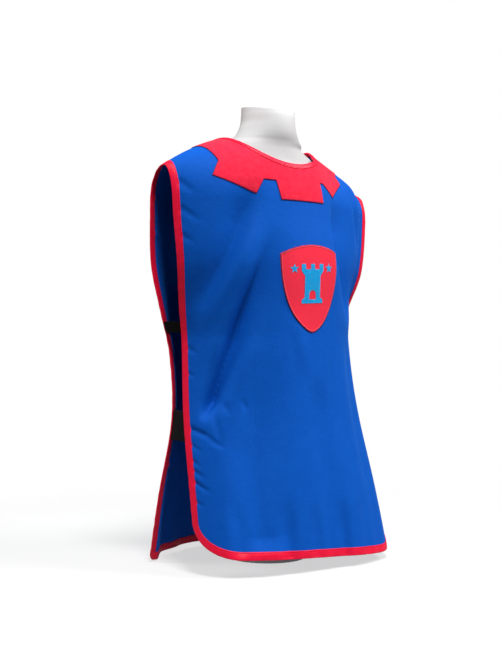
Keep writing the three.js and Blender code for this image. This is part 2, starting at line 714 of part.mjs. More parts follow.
// ---- the model ----
const matt = (color, roughness) => new THREE.MeshStandardMaterial({ color, roughness, metalness: 0 });
const materials = {
  blue: matt(0x1b4db5, 0.75),
  tape: matt(0xd8142f, 0.55),
  felt: matt(0xe2203c, 0.85),
  emblem: matt(0x18a8dc, 0.6),
  elastic: matt(0x0d0c0c, 0.8),
  form: matt(0xd9d9d7, 0.6),
};

const tabard = new THREE.Group();
function add(name, geometry, material) {
  const mesh = new THREE.Mesh(geometry, materials[material]);
  mesh.name = name;
  tabard.add(mesh);
}

// Depths of the pieces' faces, outwards from the middle of the blue cloth.
const face = CLOTH / 2;
const arm = face + TAPE_GAP;
const collarLow = face + LIFT;
const collarHigh = collarLow + COLLAR;
const neckArm = collarHigh + NECK_TAPE_GAP;
const neckInside = -face - NECK_TAPE_GAP;
const shieldLow = face + LIFT;
const shieldHigh = shieldLow + SHIELD;
const emblemLow = shieldHigh + EMBLEM_LIFT;
const emblemHigh = emblemLow + EMBLEM;

const halves = [
  { name: "front", panel: front, grid: frontGrid, corners: COLLAR_FRONT, neckDepth: NECK_DEPTH_FRONT },
  { name: "back", panel: back, grid: backGrid, corners: COLLAR_BACK, neckDepth: NECK_DEPTH_BACK },
];
for (const { name, panel, grid, corners, neckDepth } of halves) {
  const collar = collarFlat(panel, corners, neckDepth);
  add(`${name}_panel`, slab(panel, grid, -face, face), "blue");
  add(`${name}_binding`, foldedTape(panel, outerPath(grid), BINDING_WIDTH, arm, -arm), "tape");
  add(`collar_${name}`, slab(panel, collar, collarLow, collarHigh), "felt");
  const neckTape = foldedTape(panel, neckPath(grid), NECK_BINDING_WIDTH, neckArm, neckInside);
  add(`neck_binding_${name}`, neckTape, "tape");
}
add("shield_patch", slab(front, shieldFlat(), shieldLow, shieldHigh), "felt");
add("emblem_tower", slab(front, towerFlat(), emblemLow, emblemHigh), "emblem");
add("emblem_star_right", slab(front, starFlat(-1), emblemLow, emblemHigh), "emblem");
add("emblem_star_left", slab(front, starFlat(1), emblemLow, emblemHigh), "emblem");
for (const { name, middle, width } of STRAPS) {
  add(`strap_right_${name}`, strap(-1, middle, width), "elastic");
  add(`strap_left_${name}`, strap(1, middle, width), "elastic");
}
add("form_torso", formTorso(), "form");
add("form_post", formPost(), "form");
add("form_base", formBase(), "form");

export default tabard;
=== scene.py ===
"""A child's play tabard on a limbless dress form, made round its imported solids.

Every cloth piece is drawn flat and laid on one worn surface, as the solids are. A flat point is (s, h) in
millimetres: s runs across the panel from its centre line, positive to the wearer's left, and h runs up it
from the level of the back's hem. Below CHEST, h is a height. Above it, h goes on as the length of cloth that
rises over the chest to the shoulder seam. The vertices are in metres.
"""
import math

import bpy
import numpy as np
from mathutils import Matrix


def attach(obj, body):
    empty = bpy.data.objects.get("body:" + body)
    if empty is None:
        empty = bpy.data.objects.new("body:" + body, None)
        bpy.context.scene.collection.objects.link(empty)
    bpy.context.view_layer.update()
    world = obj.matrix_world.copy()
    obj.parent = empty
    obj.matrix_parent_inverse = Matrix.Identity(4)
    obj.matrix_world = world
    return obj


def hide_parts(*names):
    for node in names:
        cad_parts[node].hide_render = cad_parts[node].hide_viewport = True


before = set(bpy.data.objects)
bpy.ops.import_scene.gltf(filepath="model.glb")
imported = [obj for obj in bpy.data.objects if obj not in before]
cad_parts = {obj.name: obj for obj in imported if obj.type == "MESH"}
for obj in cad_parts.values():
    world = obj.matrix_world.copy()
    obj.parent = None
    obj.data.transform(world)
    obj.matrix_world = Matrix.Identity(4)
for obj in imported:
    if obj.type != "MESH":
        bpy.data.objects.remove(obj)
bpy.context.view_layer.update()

MM = 0.001

# ---- camera ----
CAMERA_DISTANCE = 1.70  # from the neck's axis
CAMERA_HEIGHT = 0.3125
CAMERA_AZIMUTH = 35.0  # degrees that it stands round to the wearer's right
CAMERA_YAW = 0.92  # degrees that it looks to the left of the neck's axis
CAMERA_PITCH = 1.46  # degrees that it looks up
CAMERA_LENS = 57.4
CAMERA_SENSOR = 36.0


def new_object(name, data):
    """An object in the scene that holds the mesh, lens or lamp given."""
    made = bpy.data.objects.new(name, data)
    bpy.context.scene.collection.objects.link(made)
    return made


def make_camera():
    """Stands on a circle round the neck's axis and looks almost at it."""
    data = bpy.data.cameras.new("camera")
    data.lens = CAMERA_LENS
    data.sensor_width = CAMERA_SENSOR
    camera = new_object("camera", data)
    around = math.radians(CAMERA_AZIMUTH)
    right, forward = CAMERA_DISTANCE * math.sin(around), CAMERA_DISTANCE * math.cos(around)
    camera.location = (-right, -forward, CAMERA_HEIGHT)
    camera.rotation_euler = (math.radians(90 + CAMERA_PITCH), 0, math.radians(CAMERA_YAW) - around)
    bpy.context.scene.camera = camera


make_camera()

# ---- sizes of the tabard, in millimetres ----
HEM_CLEARANCE = 2.5  # back hem above the surface that the form stands on
PANEL_HALF = 208  # half the width of the front and of the back
CHEST = 552  # where the cloth starts to bend over towards the shoulder
CHEST_SOFT = 45  # how far above and below CHEST the side profile eases into the bend
SHOULDER_TOP = 666  # where the two shoulder lines would meet, at the neck
SHOULDER_HALF = 190
DROP_RIGHT = 61  # fall of the wearer's right shoulder line to its tip
DROP_LEFT = 80
DROP_POWER = 2.2  # how round the right shoulder line is
LEFT_BEND = 0.25  # the left one is straight beyond this share of its length
LEFT_BEND_SOFT = 0.08  # and bends over this share

NECK_OFFSET = -8  # the neck hole is pulled over to the wearer's right
NECK_HALF = 86
NECK_DEPTH = {"front": 88, "back": 52}

FRONT_HEM = 26  # front hem above the back's corners, at the wearer's right
FRONT_HEM_FALL = 20  # how much lower it hangs at the wearer's left
BACK_HEM_RISE = 7  # the back hem lifts this much between its corners
BACK_HEM_RUN = 60  # within about this distance of them
CORNER_RUN = {"front": 75, "back": 13}  # rounded lower corners, along the hem
CORNER_RISE = {"front": 48, "back": 13}  # and up the side

CLOTH = 0.6  # blue cloth
TAPE = 0.5  # each arm of the folded tape
BINDING_WIDTH = 11
NECK_BINDING_WIDTH = 7.5
FELT = 1.0
PATCH = 1.1
EASE = 0.1  # air between layers that are sewn together

SHIELD_HALF = 54
SHIELD_TOP = 485
SHIELD_CORNER = 473
SHIELD_TIP = 352
SHIELD_POWER = 2.35  # how low on its sides they curve in
SHIELD_POINT = 0.6  # how sharp its tip is: 0.5 is round, and 1 is a straight sided point
SHIELD_CENTRE = 5.5
SHIELD_TILT = 0.055  # rise towards the wearer's left, for each millimetre across

# Plan of each panel at some levels. centre = distance of the centre line from the neck's axis, turn = degrees
# that the cloth has turned through at its side edge, late = how much of the turning is left to the edge.
LEVEL_COLUMNS = [("height", float), ("centre", float), ("turn", float), ("late", float)]
FRONT_LEVELS = np.array([
    (0, 148, 83, 2.5),
    (100, 137, 77, 1.8),
    (220, 121, 72.5, 1.2),
    (340, 112, 74.5, 1),
    (390, 110.5, 68.5, 1),
    (460, 112, 57, 1),
    (552, 99, 47.5, 1),
], LEVEL_COLUMNS)
BACK_LEVELS = np.array([
    (0, 148, 52.5, 1),
    (100, 146, 60.5, 1),
    (220, 144, 72, 1),
    (320, 138, 68, 1),
    (390, 125, 55, 1),
    (460, 111, 42, 1),
    (552, 97, 36.5, 1),
], LEVEL_COLUMNS)

# Large soft hollows, the same as the solids have. Each runs from (top_s, top) down to (foot_s, foot).
FOLD_COLUMNS = [(name, float) for name in ("top_s", "top", "foot_s", "foot", "right", "left", "depth")]
FRONT_FOLDS = np.array([
    (74, 700, 130, 360, 70, 96, 12),
    (-66, 560, -78, 215, 42, 46, 3),
    (-108, 400, -152, 150, 30, 26, 1.5),
    (16, 230, 28, -60, 34, 40, 4),
    (112, 300, 126, -60, 30, 32, 3.5),
    (-120, 170, -116, -60, 34, 40, 3),
    (196, 590, 204, 370, 70, 60, -5),
], FOLD_COLUMNS)
BACK_FOLDS = np.array([
    (-92, 490, -56, 240, 60, 54, 7),
    (96, 500, 60, 280, 50, 62, 8),
    (4, 480, -14, -60, 44, 38, 7),
    (-118, 250, -108, -60, 40, 34, 5),
    (98, 220, 118, -60, 36, 42, 6),
], FOLD_COLUMNS)

# Finer creases. Each is a soft trough along the line from (s0, h0) to (s1, h1). before and after = its widths
# at its start, on the left and on the right of travel, taper = the share of them that is left at its end,
# round = how round its bottom is, from 0.5 for a sharp one to 1, rise and fall = shares of its length over
# which it fades in and out. A negative depth is a ridge.
CREASE_NAMES = ("s0", "h0", "s1", "h1", "before", "after", "taper", "depth", "round", "rise", "fall")
CREASE_COLUMNS = [(name, float) for name in CREASE_NAMES]
FRONT_CREASES = np.array([
    # the cloth is dragged from the chest down to the elastic at the wearer's right
    (-72, 590, -188, 360, 36, 46, 0.75, 15.0, 0.8, 0.35, 0.4),
    (-52, 520, -180, 216, 66, 20, 0.5, 23.0, 0.7, 0.5, 0.14),
    (-146, 340, -174, 216, 14, 42, 0.8, 4.0, 0.8, 0.5, 0.3),
    (-143, 254, -133, 226, 11, 9, 0.8, 2.4, 0.85, 0.5, 0.5),
    (-113, 256, -105, 232, 9, 8, 0.8, 1.4, 0.85, 0.5, 0.5),
    (-199, 210, -164, 198, 6, 13, 0.6, 3.0, 0.85, 0.15, 0.4),
    (-180, 205, -141, 178, 7, 10, 0.6, 2.6, 0.85, 0.4, 0.35),
    (-158, 236, -146, 176, 9, 6, 0.7, 2.0, 0.85, 0.3, 0.4),
    # short tucks where the tape is drawn in beside it
    (-199, 186, -176, 172, 4, 7, 0.6, 2.0, 0.85, 0.12, 0.6),
    (-199, 163, -182, 152, 4, 6, 0.6, 2.0, 0.85, 0.12, 0.6),
    (-199, 149, -174, 134, 4, 6, 0.6, 2.4, 0.85, 0.12, 0.6),
    (-199, 133, -166, 114, 4, 8, 0.6, 3.0, 0.85, 0.12, 0.6),
    (-199, 104, -180, 94, 4, 6, 0.6, 1.6, 0.85, 0.12, 0.6),
    (-199, 574, -170, 556, 10, 12, 0.6, 1.8, 0.85, 0.12, 0.6),
    (-199, 540, -164, 514, 9, 13, 0.6, 1.6, 0.85, 0.12, 0.6),
    (-199, 498, -176, 482, 8, 10, 0.6, 1.4, 0.85, 0.12, 0.6),
    (-199, 330, -176, 318, 7, 10, 0.6, 1.3, 0.85, 0.12, 0.6),
    (-199, 290, -182, 284, 6, 8, 0.6, 1.3, 0.85, 0.12, 0.6),
    # beside the wearer's left shoulder
    (69, 572, 72, 446, 60, 18, 0.8, 9.0, 0.75, 0.5, 0.4),
    (66, 500, 124, 366, 48, 17, 0.8, 8.5, 0.75, 0.35, 0.3),
    (138, 606, 176, 480, 24, 15, 0.8, 4.0, 0.85, 0.3, 0.4),
    # the edge stands out again at the wearer's left armhole
    (189, 628, 189, 330, 20, 54, 1.0, 8.0, 0.85, 0.18, 0.25),
    # down from the shield, and soft waves towards the hem
    (-24, 392, -6, 270, 22, 20, 0.9, -2.4, 0.85, 0.35, 0.5),
    (-92, 330, -100, 26, 70, 48, 1.0, 8.0, 0.85, 0.4, 0.1),
    (46, 360, 52, 150, 34, 26, 0.9, 3.0, 0.85, 0.4, 0.5),
    (-54, 118, -58, 14, 17, 22, 1.1, 5.0, 0.85, 0.6, 0.1),
    (-8, 104, -6, 12, 14, 20, 1.1, 4.2, 0.85, 0.6, 0.1),
    (44, 110, 48, 8, 15, 20, 1.1, 4.8, 0.85, 0.6, 0.1),
    (92, 140, 98, 6, 20, 24, 1.1, 3.0, 0.85, 0.5, 0.1),
    (-140, 130, -134, 24, 22, 18, 1.0, 3.0, 0.85, 0.5, 0.1),
], CREASE_COLUMNS)
BACK_CREASES = np.array([
    # dragged from the shoulder blades down to both pairs of elastics
    (78, 600, 160, 376, 40, 36, 0.8, 7.0, 0.8, 0.35, 0.45),
    (50, 515, 184, 204, 24, 70, 0.4, 12.0, 0.65, 0.4, 0.22),
    (-68, 590, -152, 380, 34, 40, 0.8, 6.0, 0.8, 0.35, 0.45),
    (-46, 490, -180, 206, 62, 24, 0.45, 10.5, 0.7, 0.45, 0.22),
    (146, 262, 134, 234, 9, 11, 0.8, 2.2, 0.85, 0.5, 0.5),
    (-140, 258, -130, 232, 10, 9, 0.8, 2.0, 0.85, 0.5, 0.5),
    # the edges stand out again along both sides
    (-190, 650, -190, -60, 54, 19, 1.0, 8.5, 0.85, 0.5, 0.1),
    (190, 650, 190, -60, 19, 54, 1.0, 7.0, 0.85, 0.5, 0.1),
    (199, 215, 166, 204, 12, 6, 0.6, 2.6, 0.85, 0.15, 0.4),
    (199, 188, 178, 178, 6, 4, 0.6, 1.8, 0.85, 0.12, 0.6),
    (199, 160, 174, 146, 7, 4, 0.6, 2.2, 0.85, 0.12, 0.6),
    (199, 118, 182, 108, 5, 4, 0.6, 1.4, 0.85, 0.12, 0.6),
    (-199, 230, -170, 214, 6, 9, 0.6, 2.4, 0.85, 0.1, 0.5),
    (-199, 198, -178, 190, 4, 6, 0.6, 1.8, 0.85, 0.12, 0.6),
    (-199, 152, -170, 138, 4, 7, 0.6, 2.4, 0.85, 0.12, 0.6),
    (-199, 562, -168, 546, 9, 11, 0.6, 1.6, 0.85, 0.12, 0.6),
    (-199, 508, -176, 496, 8, 9, 0.6, 1.2, 0.85, 0.12, 0.6),
    (199, 546, 170, 528, 11, 9, 0.6, 1.6, 0.85, 0.12, 0.6),
    (199, 492, 178, 480, 9, 8, 0.6, 1.2, 0.85, 0.12, 0.6),
    (-34, 340, -24, 110, 30, 34, 0.9, 4.0, 0.85, 0.4, 0.5),
    (30, 220, 42, 8, 26, 32, 1.1, 4.4, 0.85, 0.5, 0.1),
    (-66, 160, -76, 8, 24, 20, 1.1, 3.6, 0.85, 0.5, 0.1),
    (-128, 130, -122, 8, 20, 26, 1.1, 3.2, 0.85, 0.5, 0.1),
    (122, 150, 120, 4, 22, 28, 1.1, 3.6, 0.85, 0.5, 0.1),
], CREASE_COLUMNS)


# ---- the worn surface ----
def ease(t):
    """0 below 0, 1 above 1, and the smooth cubic 3t^2 - 2t^3 between."""
    t = np.clip(t, 0, 1)
    return t * t * (3 - 2 * t)


def hermite(t, span, start, end, start_slope, end_slope):
    """The cubic from start to end with the slopes given, at the share t of a span."""
    return (
        (2 * t**3 - 3 * t**2 + 1) * start
        + (t**3 - 2 * t**2 + t) * span * start_slope
        + (3 * t**2 - 2 * t**3) * end
        + (t**3 - t**2) * span * end_slope
    )


def neighbours(count):
    """Places of the rows after and before each of count rows, which stop at the last and at the first."""
    at = np.arange(count)
    return np.minimum(at + 1, count - 1), np.maximum(at - 1, 0)


def through(rows, column, height):
    """Smooth curve through one column of a table: Hermite cubics with central differences for slopes."""
    heights, values = rows["height"], rows[column]
    above, below = neighbours(len(rows))
    slopes = (values[above] - values[below]) / (heights[above] - heights[below])
    z = np.clip(height, heights[0], heights[-1])
    k = np.clip(np.searchsorted(heights, z) - 1, 0, len(rows) - 2)
    span = heights[k + 1] - heights[k]
    return hermite((z - heights[k]) / span, span, values[k], values[k + 1], slopes[k], slopes[k + 1])


class Panel:
    """One half of the tabard as it is worn. side is -1 for the front and +1 for the back."""

    TURN_STEPS = 12  # pieces that the plan's curve is summed over
    FOOT_FADE = 90  # heights over which a fold fades: at its foot,
    TOP_FADE = 60  # at its top
    SEAM_FADE = 55  # and below the shoulder seam
    PUCKER = 0.17

    def __init__(self, name, side, levels, folds, creases):
        self.name = name
        self.side = side
        self.levels = levels
        self.folds = folds
        self.creases = creases
        self.neck_ends = self.seam(np.array([NECK_OFFSET - NECK_HALF, NECK_OFFSET + NECK_HALF], float))

    def plan(self, s, height):
        """x and the distance from the centre plane. The cloth starts square to the plane s = 0 and heads off
        it by turn * (share of the half width) ^ late; both are sums of that heading's cosine and sine."""
        middles = (np.arange(self.TURN_STEPS) + 0.5) / self.TURN_STEPS
        step = np.abs(s) / self.TURN_STEPS
        turn = np.radians(through(self.levels, "turn", height))[..., None]
        late = through(self.levels, "late", height)[..., None]
        heading = turn * (np.abs(s)[..., None] / PANEL_HALF * middles) ** late
        x = np.sign(s) * np.cos(heading).sum(-1) * step
        out = through(self.levels, "centre", height) - np.sin(heading).sum(-1) * step
        return x, out

    def ridge(self, s):
        """x of the shoulder seam, its rise above CHEST, and the length of cloth from CHEST to it: a quarter
        of an ellipse whose length is taken as pi / 2 times the root mean square of its two half axes. The
        right shoulder line falls as a power of x, and the left one as a branch of a hyperbola."""
        x = np.sign(s) * (np.abs(s) - (PANEL_HALF - SHOULDER_HALF) * (s / PANEL_HALF) ** 2)
        u = np.abs(x) / SHOULDER_HALF
        beyond = u - LEFT_BEND
        left_fall = DROP_LEFT * (beyond + np.hypot(beyond, LEFT_BEND_SOFT)) / (2 * (1 - LEFT_BEND))
        rise = SHOULDER_TOP - np.where(x > 0, left_fall, DROP_RIGHT * u**DROP_POWER) - CHEST
        out = self.plan(s, np.full(np.shape(s), float(CHEST)))[1]
        return x, rise, np.pi / 2 * np.sqrt((rise**2 + out**2) / 2)

    def seam(self, s):
        """h of the shoulder seam."""
        return CHEST + self.ridge(s)[2]

    def smooth(self, s, h):
        """The surface with no folds. Below CHEST it follows the plan. Above it, it goes over to the seam
        along the quarter ellipse. The plan's own height eases out over CHEST_SOFT on both sides of CHEST."""
        over = np.clip(h - CHEST + CHEST_SOFT, 0, 2 * CHEST_SOFT)
        level = np.minimum(h, CHEST + CHEST_SOFT) - over**2 / (4 * CHEST_SOFT)
        x, out = self.plan(s, level)
        top_x, rise, length = self.ridge(s)
        angle = np.maximum(h - CHEST, 0) / length * np.pi / 2
        lean = np.cos(angle)
        z = np.minimum(h, CHEST) + rise * np.sin(angle)
        return np.stack([top_x + (x - top_x) * lean, self.side * out * lean, z], -1)

    def hollow(self, s, h):
        """Depth of all the folds and creases. Across its line, each is half a cosine wave, and a crease's is
        of a power of the distance. Along it, each fades at its ends, and a crease's widths narrow evenly."""
        to_seam = self.seam(s) - h
        depth = np.zeros(np.shape(s))
        for f in self.folds:
            line = f["foot_s"] + (f["top_s"] - f["foot_s"]) * (h - f["foot"]) / (f["top"] - f["foot"])
            across = np.clip((s - line) / np.where(s < line, f["right"], f["left"]), -1, 1)
            along = ease((h - f["foot"]) / self.FOOT_FADE) * ease((f["top"] - h) / self.TOP_FADE + 1)
            depth += f["depth"] * along * (1 + np.cos(np.pi * across)) / 2
        depth *= ease(to_seam / self.SEAM_FADE)
        for c in self.creases:
            run, rise = c["s1"] - c["s0"], c["h1"] - c["h0"]
            size = math.hypot(run, rise)
            along = ((s - c["s0"]) * run + (h - c["h0"]) * rise) / size**2
            beside = ((s - c["s0"]) * rise - (h - c["h0"]) * run) / size
            narrowed = 1 - (1 - c["taper"]) * np.clip(along, 0, 1)
            width = np.where(beside < 0, c["before"], c["after"]) * narrowed
            across = np.minimum(np.abs(beside) / width, 1) ** c["round"]
            fade = ease(along / c["rise"]) * ease((1 - along) / c["fall"])
            depth += c["depth"] * fade * (1 + np.cos(np.pi * across)) / 2
        return depth + self.pucker(s, h)

    def pucker(self, s, h):
        """Small ripples where the tape's stitching draws the cloth in: sums of sines of uneven length along
        an edge, which die out within a few tape widths of it."""
        from_side = PANEL_HALF - np.abs(s)
        from_hem = h - self.low(s)
        phase = np.where(s < 0, 0.0, 1.7) + self.side
        beat = 0.6 + 0.4 * np.sin(h / 47 + phase)
        sides = beat * (np.sin(h / 2.9 + phase) + 0.8 * np.sin(h / 4.7 + 2 * phase)) * np.exp(-from_side / 13)
        beat = 0.6 + 0.4 * np.sin(s / 39 + phase)
        hem = beat * (np.sin(s / 3.3 + 1) + 0.8 * np.sin(s / 5.3 + 2)) * np.exp(-np.maximum(from_hem, 0) / 14)
        return self.PUCKER * (sides + hem)

    def normal(self, surface, s, h):
        """Unit normal, outwards: the cross product of central differences 1 mm to each side."""
        across = surface(s + 1, h) - surface(s - 1, h)
        up = surface(s, h + 1) - surface(s, h - 1)
        normal = -self.side * np.cross(across, up)
        return normal / np.linalg.norm(normal, axis=-1, keepdims=True)

    def worn(self, s, h):
        """The surface with its folds, which lie inwards along the smooth surface's normal."""
        return self.smooth(s, h) - self.normal(self.smooth, s, h) * self.hollow(s, h)[..., None]

    def point(self, s, h, off):
        """Vertices off millimetres outside the middle of the blue cloth, in metres."""
        s, h, off = np.broadcast_arrays(np.asarray(s, float), np.asarray(h, float), np.asarray(off, float))
        at = self.worn(s, h) + self.normal(self.worn, s, h) * off[..., None]
        at[..., 2] += HEM_CLEARANCE
        return at * MM

    def low(self, s):
        """h of the lower edge: the hem, with corners that are quarters of an ellipse. The front's hem drops
        towards the wearer's left, and the back's lifts between its corners."""
        run, rise = CORNER_RUN[self.name], CORNER_RISE[self.name]
        if self.side < 0:
            hem = FRONT_HEM - FRONT_HEM_FALL * np.clip((s + PANEL_HALF) / (2 * PANEL_HALF), 0, 1) ** 1.5
        else:
            hem = BACK_HEM_RISE * (1 - np.exp(np.minimum(np.abs(s) - PANEL_HALF, 0) / BACK_HEM_RUN))
        u = np.clip(1 - (PANEL_HALF - np.abs(s)) / run, 0, 1)
        return hem + rise * (1 - np.sqrt(1 - u**2))

    def neck(self, s):
        """h of the neck hole's edge: half an ellipse below the line between its two ends on the seam."""
        u = np.clip((s - NECK_OFFSET) / NECK_HALF, -1, 1)
        line = self.neck_ends[0] + (self.neck_ends[1] - self.neck_ends[0]) * (u + 1) / 2
        return line - NECK_DEPTH[self.name] * np.sqrt(1 - u**2)


front = Panel("front", -1, FRONT_LEVELS, FRONT_FOLDS, FRONT_CREASES)
back = Panel("back", 1, BACK_LEVELS, BACK_FOLDS, BACK_CREASES)


# ---- meshes ----
def triangles(quads):
    """Each quad cut along its first diagonal."""
    return np.concatenate([quads[:, [0, 1, 2]], quads[:, [0, 2, 3]]])


def new_piece(name, vertices, faces, uv=None):
    """A smooth shaded mesh object at the origin. Faces are turned to point outwards, which makes the sum of
    the signed volumes of the tetrahedra from the origin to each triangle positive."""
    vertices = np.asarray(vertices, float).reshape(-1, 3)
    corners = faces if faces.shape[1] == 3 else triangles(faces)
    a, b, c = (vertices[corners[:, k]] for k in range(3))
    if (a * np.cross(b, c)).sum() < 0:
        faces = faces[:, ::-1]
    mesh = bpy.data.meshes.new(name)
    size = faces.shape[1]
    mesh.vertices.add(len(vertices))
    mesh.vertices.foreach_set("co", vertices.ravel())
    mesh.loops.add(faces.size)
    mesh.loops.foreach_set("vertex_index", faces.ravel())
    mesh.polygons.add(len(faces))
    mesh.polygons.foreach_set("loop_start", np.arange(0, faces.size, size))
    mesh.polygons.foreach_set("use_smooth", np.ones(len(faces), bool))
    if uv is not None:
        layer = mesh.uv_layers.new(name="cut")
        layer.uv.foreach_set("vector", uv.reshape(-1, 2)[faces.ravel()].ravel())
    mesh.update(calc_edges=True)
    return new_object(name, mesh)


def grid_faces(rows, columns, closed=False):
    """Quads of a grid of vertices that is stored row by row. closed joins the last column to the first."""
    r = np.arange(rows - 1)[:, None]
    c = np.arange(columns if closed else columns - 1)[None, :]
    a = r * columns + c
    b = r * columns + (c + 1) % columns
    return np.stack([a, b, b + columns, a + columns], -1).reshape(-1, 4)


def wall(name, under, over, uv):
    """A closed wall between two grids of vertices: both grids' quads, and a strip round their rims."""
    rows, columns = over.shape[:2]
    count = rows * columns
    rim = np.concatenate([
        np.arange(columns),
        np.arange(1, rows) * columns + columns - 1,
        (rows - 1) * columns + np.arange(columns - 2, -1, -1),
        np.arange(rows - 2, 0, -1) * columns,
    ])
    after = np.roll(rim, -1)
    quads = grid_faces(rows, columns)
    strip = np.stack([rim, after, after + count, rim + count], -1)
    faces = np.concatenate([quads[:, ::-1], quads + count, strip])
    return new_piece(name, np.concatenate([under, over]), faces, np.concatenate([uv, uv]))


def slab(name, panel, s, h, low, high):
    """A wall over a flat grid, between the depths low and high. Its UV map is the flat cut, in metres."""
    return wall(name, panel.point(s, h, low), panel.point(s, h, high), np.stack([s, h], -1) * MM)


def travelled(points):
    """Length of the polyline up to each of its points."""
    return np.concatenate([[0], np.cumsum(np.linalg.norm(np.diff(points, axis=0), axis=1))])


def looked_up(at, length, points):
    """Each column of points where the length travelled is at, in straight lines between them."""
    return np.stack([np.interp(at, length, column) for column in points.T], -1)


def steps(start, stop, step):
    """Even values from start to stop that are a step or so apart."""
    return np.linspace(start, stop, max(2, round(abs(stop - start) / step) + 1))


def spaced(path, step):
    """Points every step or so along a polyline, at even distances."""
    length = travelled(path)
    return looked_up(steps(0, length[-1], step), length, path)


def beside(panel, path, into, reach):
    """Flat points into millimetres to the left of a path's travel. Within reach of the shoulder seam they
    turn to run along it, so that what ends there ends flush with it."""
    along = np.gradient(path, axis=0)
    along /= np.linalg.norm(along, axis=1, keepdims=True)
    s = path[:, 0, None] - along[:, 1, None] * into
    h = path[:, 1, None] + along[:, 0, None] * into
    seam_here = panel.seam(path[:, 0])
    share = ease(1 - (seam_here - path[:, 1]) / reach)[:, None]
    flush = path[:, 1, None] + panel.seam(s) - seam_here[:, None]
    return s, np.minimum(h + (flush - h) * share, panel.seam(s))


THREAD_SIDES = 5
THREAD_RINGS = np.array([0.14, 0.5, 0.86])


def threads(name, start, end, outward, radius, lift):
    """Many short threads in one mesh. Each is a spindle of five sides from start to end. Its middle stands
    lift above the straight line, and its radius is the fourth root of a sine wave of its length."""
    count, rings, sides = len(start), len(THREAD_RINGS), THREAD_SIDES
    along = end - start
    along /= np.linalg.norm(along, axis=1, keepdims=True)
    aside = np.cross(along, outward)
    aside /= np.linalg.norm(aside, axis=1, keepdims=True)
    above = np.cross(aside, along)
    arc = np.sin(np.pi * THREAD_RINGS)
    angle = np.arange(sides) / sides * 2 * np.pi
    middle = start[:, None] + (end - start)[:, None] * THREAD_RINGS[:, None]
    middle = middle + above[:, None] * (lift * arc)[:, None]
    spoke = aside[:, None] * np.cos(angle)[:, None] + above[:, None] * np.sin(angle)[:, None]
    rings_at = middle[:, :, None] + spoke[:, None] * (radius * arc**0.25)[:, None, None]
    vertices = np.concatenate([start[:, None], rings_at.reshape(count, -1, 3), end[:, None]], 1)
    j = np.arange(sides)
    last = 1 + (rings - 1) * sides
    one = np.concatenate([
        np.stack([0 * j, 1 + j, 1 + (j + 1) % sides], -1),
        triangles(grid_faces(rings, sides, closed=True)[:, ::-1] + 1),
        np.stack([0 * j + rings * sides + 1, last + (j + 1) % sides, last + j], -1),
    ])
    faces = (one[None] + (np.arange(count) * vertices.shape[1])[:, None, None]).reshape(-1, 3)
    return new_piece(name, vertices, faces)


STITCH_PITCH = 3.0
STITCH_SHARE = 0.72  # of the pitch that a stitch takes
STITCH_RADIUS = 0.21
STITCH_LIFT = 0.12


def seam_stitches(name, panel, path, into, off):
    """A row of straight stitches of one length, into millimetres inside a path."""
    stitch, pitch = STITCH_PITCH * STITCH_SHARE, STITCH_PITCH * MM
    line = spaced(path, stitch / 2)
    s, h = beside(panel, line, np.array([float(into)]), 2 * into)
    at = panel.point(s[:, 0], h[:, 0], off)
    length = travelled(at)
    begin = np.arange(pitch, length[-1] - 2 * pitch, pitch)
    start, end = looked_up(begin, length, at), looked_up(begin + stitch * MM, length, at)
    flat = looked_up(begin, length, np.concatenate([s, h], 1))
    outward = panel.normal(panel.worn, *flat.T) * np.sign(off)
    return threads(name, start, end, outward, STITCH_RADIUS * MM, STITCH_LIFT * MM)


# ---- the panels ----
GRID_STEP = 2.6  # between the panels' columns and rows
HOLE_COLUMNS = 64
HEM_ROWS = 34  # rows between the hem and HEM_LEVEL, which ease from the hem's shape to level
HEM_LEVEL = 84
SHOULDER_RUN = 110  # length of cloth above CHEST that its rows are counted for
SEAM_TUCK = 0.5  # how far the seam's edges turn in
SEAM_TUCK_RUN = 3.0


def panel_columns(run):
    """s of each column: cosine spaced in the two corners and over the neck hole, and even between them."""
    corner = PANEL_HALF - run * (1 - np.cos(np.linspace(0, np.pi / 2, max(4, round(run / GRID_STEP)))))
    hole = NECK_OFFSET - NECK_HALF * np.cos(np.linspace(0, np.pi, HOLE_COLUMNS))
    right = steps(run - PANEL_HALF, hole[0], GRID_STEP)
    left = steps(hole[-1], PANEL_HALF - run, GRID_STEP)
    return np.concatenate([-corner, right[1:-1], hole, left[1:-1], corner[::-1]])


def make_panel(panel):
    """A grid from the lower edge to the shoulder seam, and to the neck hole's edge between its ends. Above
    CHEST the rows share out the height of their column evenly."""
    s = panel_columns(CORNER_RUN[panel.name])
    low, seam = panel.low(s), panel.seam(s)
    hole = np.abs(s - NECK_OFFSET) < NECK_HALF
    top = np.where(hole, panel.neck(s), seam)
    hem = low + (HEM_LEVEL - low) * np.linspace(0, 1, HEM_ROWS)[:, None]
    body = steps(HEM_LEVEL, CHEST, GRID_STEP)[1:, None] + 0 * s
    over = CHEST + (top - CHEST) * steps(0, 1, GRID_STEP / SHOULDER_RUN)[1:, None]
    h = np.concatenate([hem, body, over])
    s = np.broadcast_to(s, h.shape)
    tuck = SEAM_TUCK * np.clip(1 - (panel.seam(s) - h) / SEAM_TUCK_RUN, 0, 1) ** 2
    return slab(f"{panel.name}_cloth", panel, s, h, -CLOTH / 2 - tuck, CLOTH / 2 - tuck)


# ---- the tapes ----
ARM_POINTS = 11
FOLD_POINTS = 7
FOLD_REACH = 1.0  # how far the fold stands out from the cloth's edge
TAPE_PUFF = 0.35  # how much the tape swells between its fold and its stitching
STITCH_INSET = 1.8  # of the stitching from the tape's inner edge
GROOVE_DEPTH = 0.3  # that the stitching pulls into the tape
GROOVE_WIDTH = 0.9


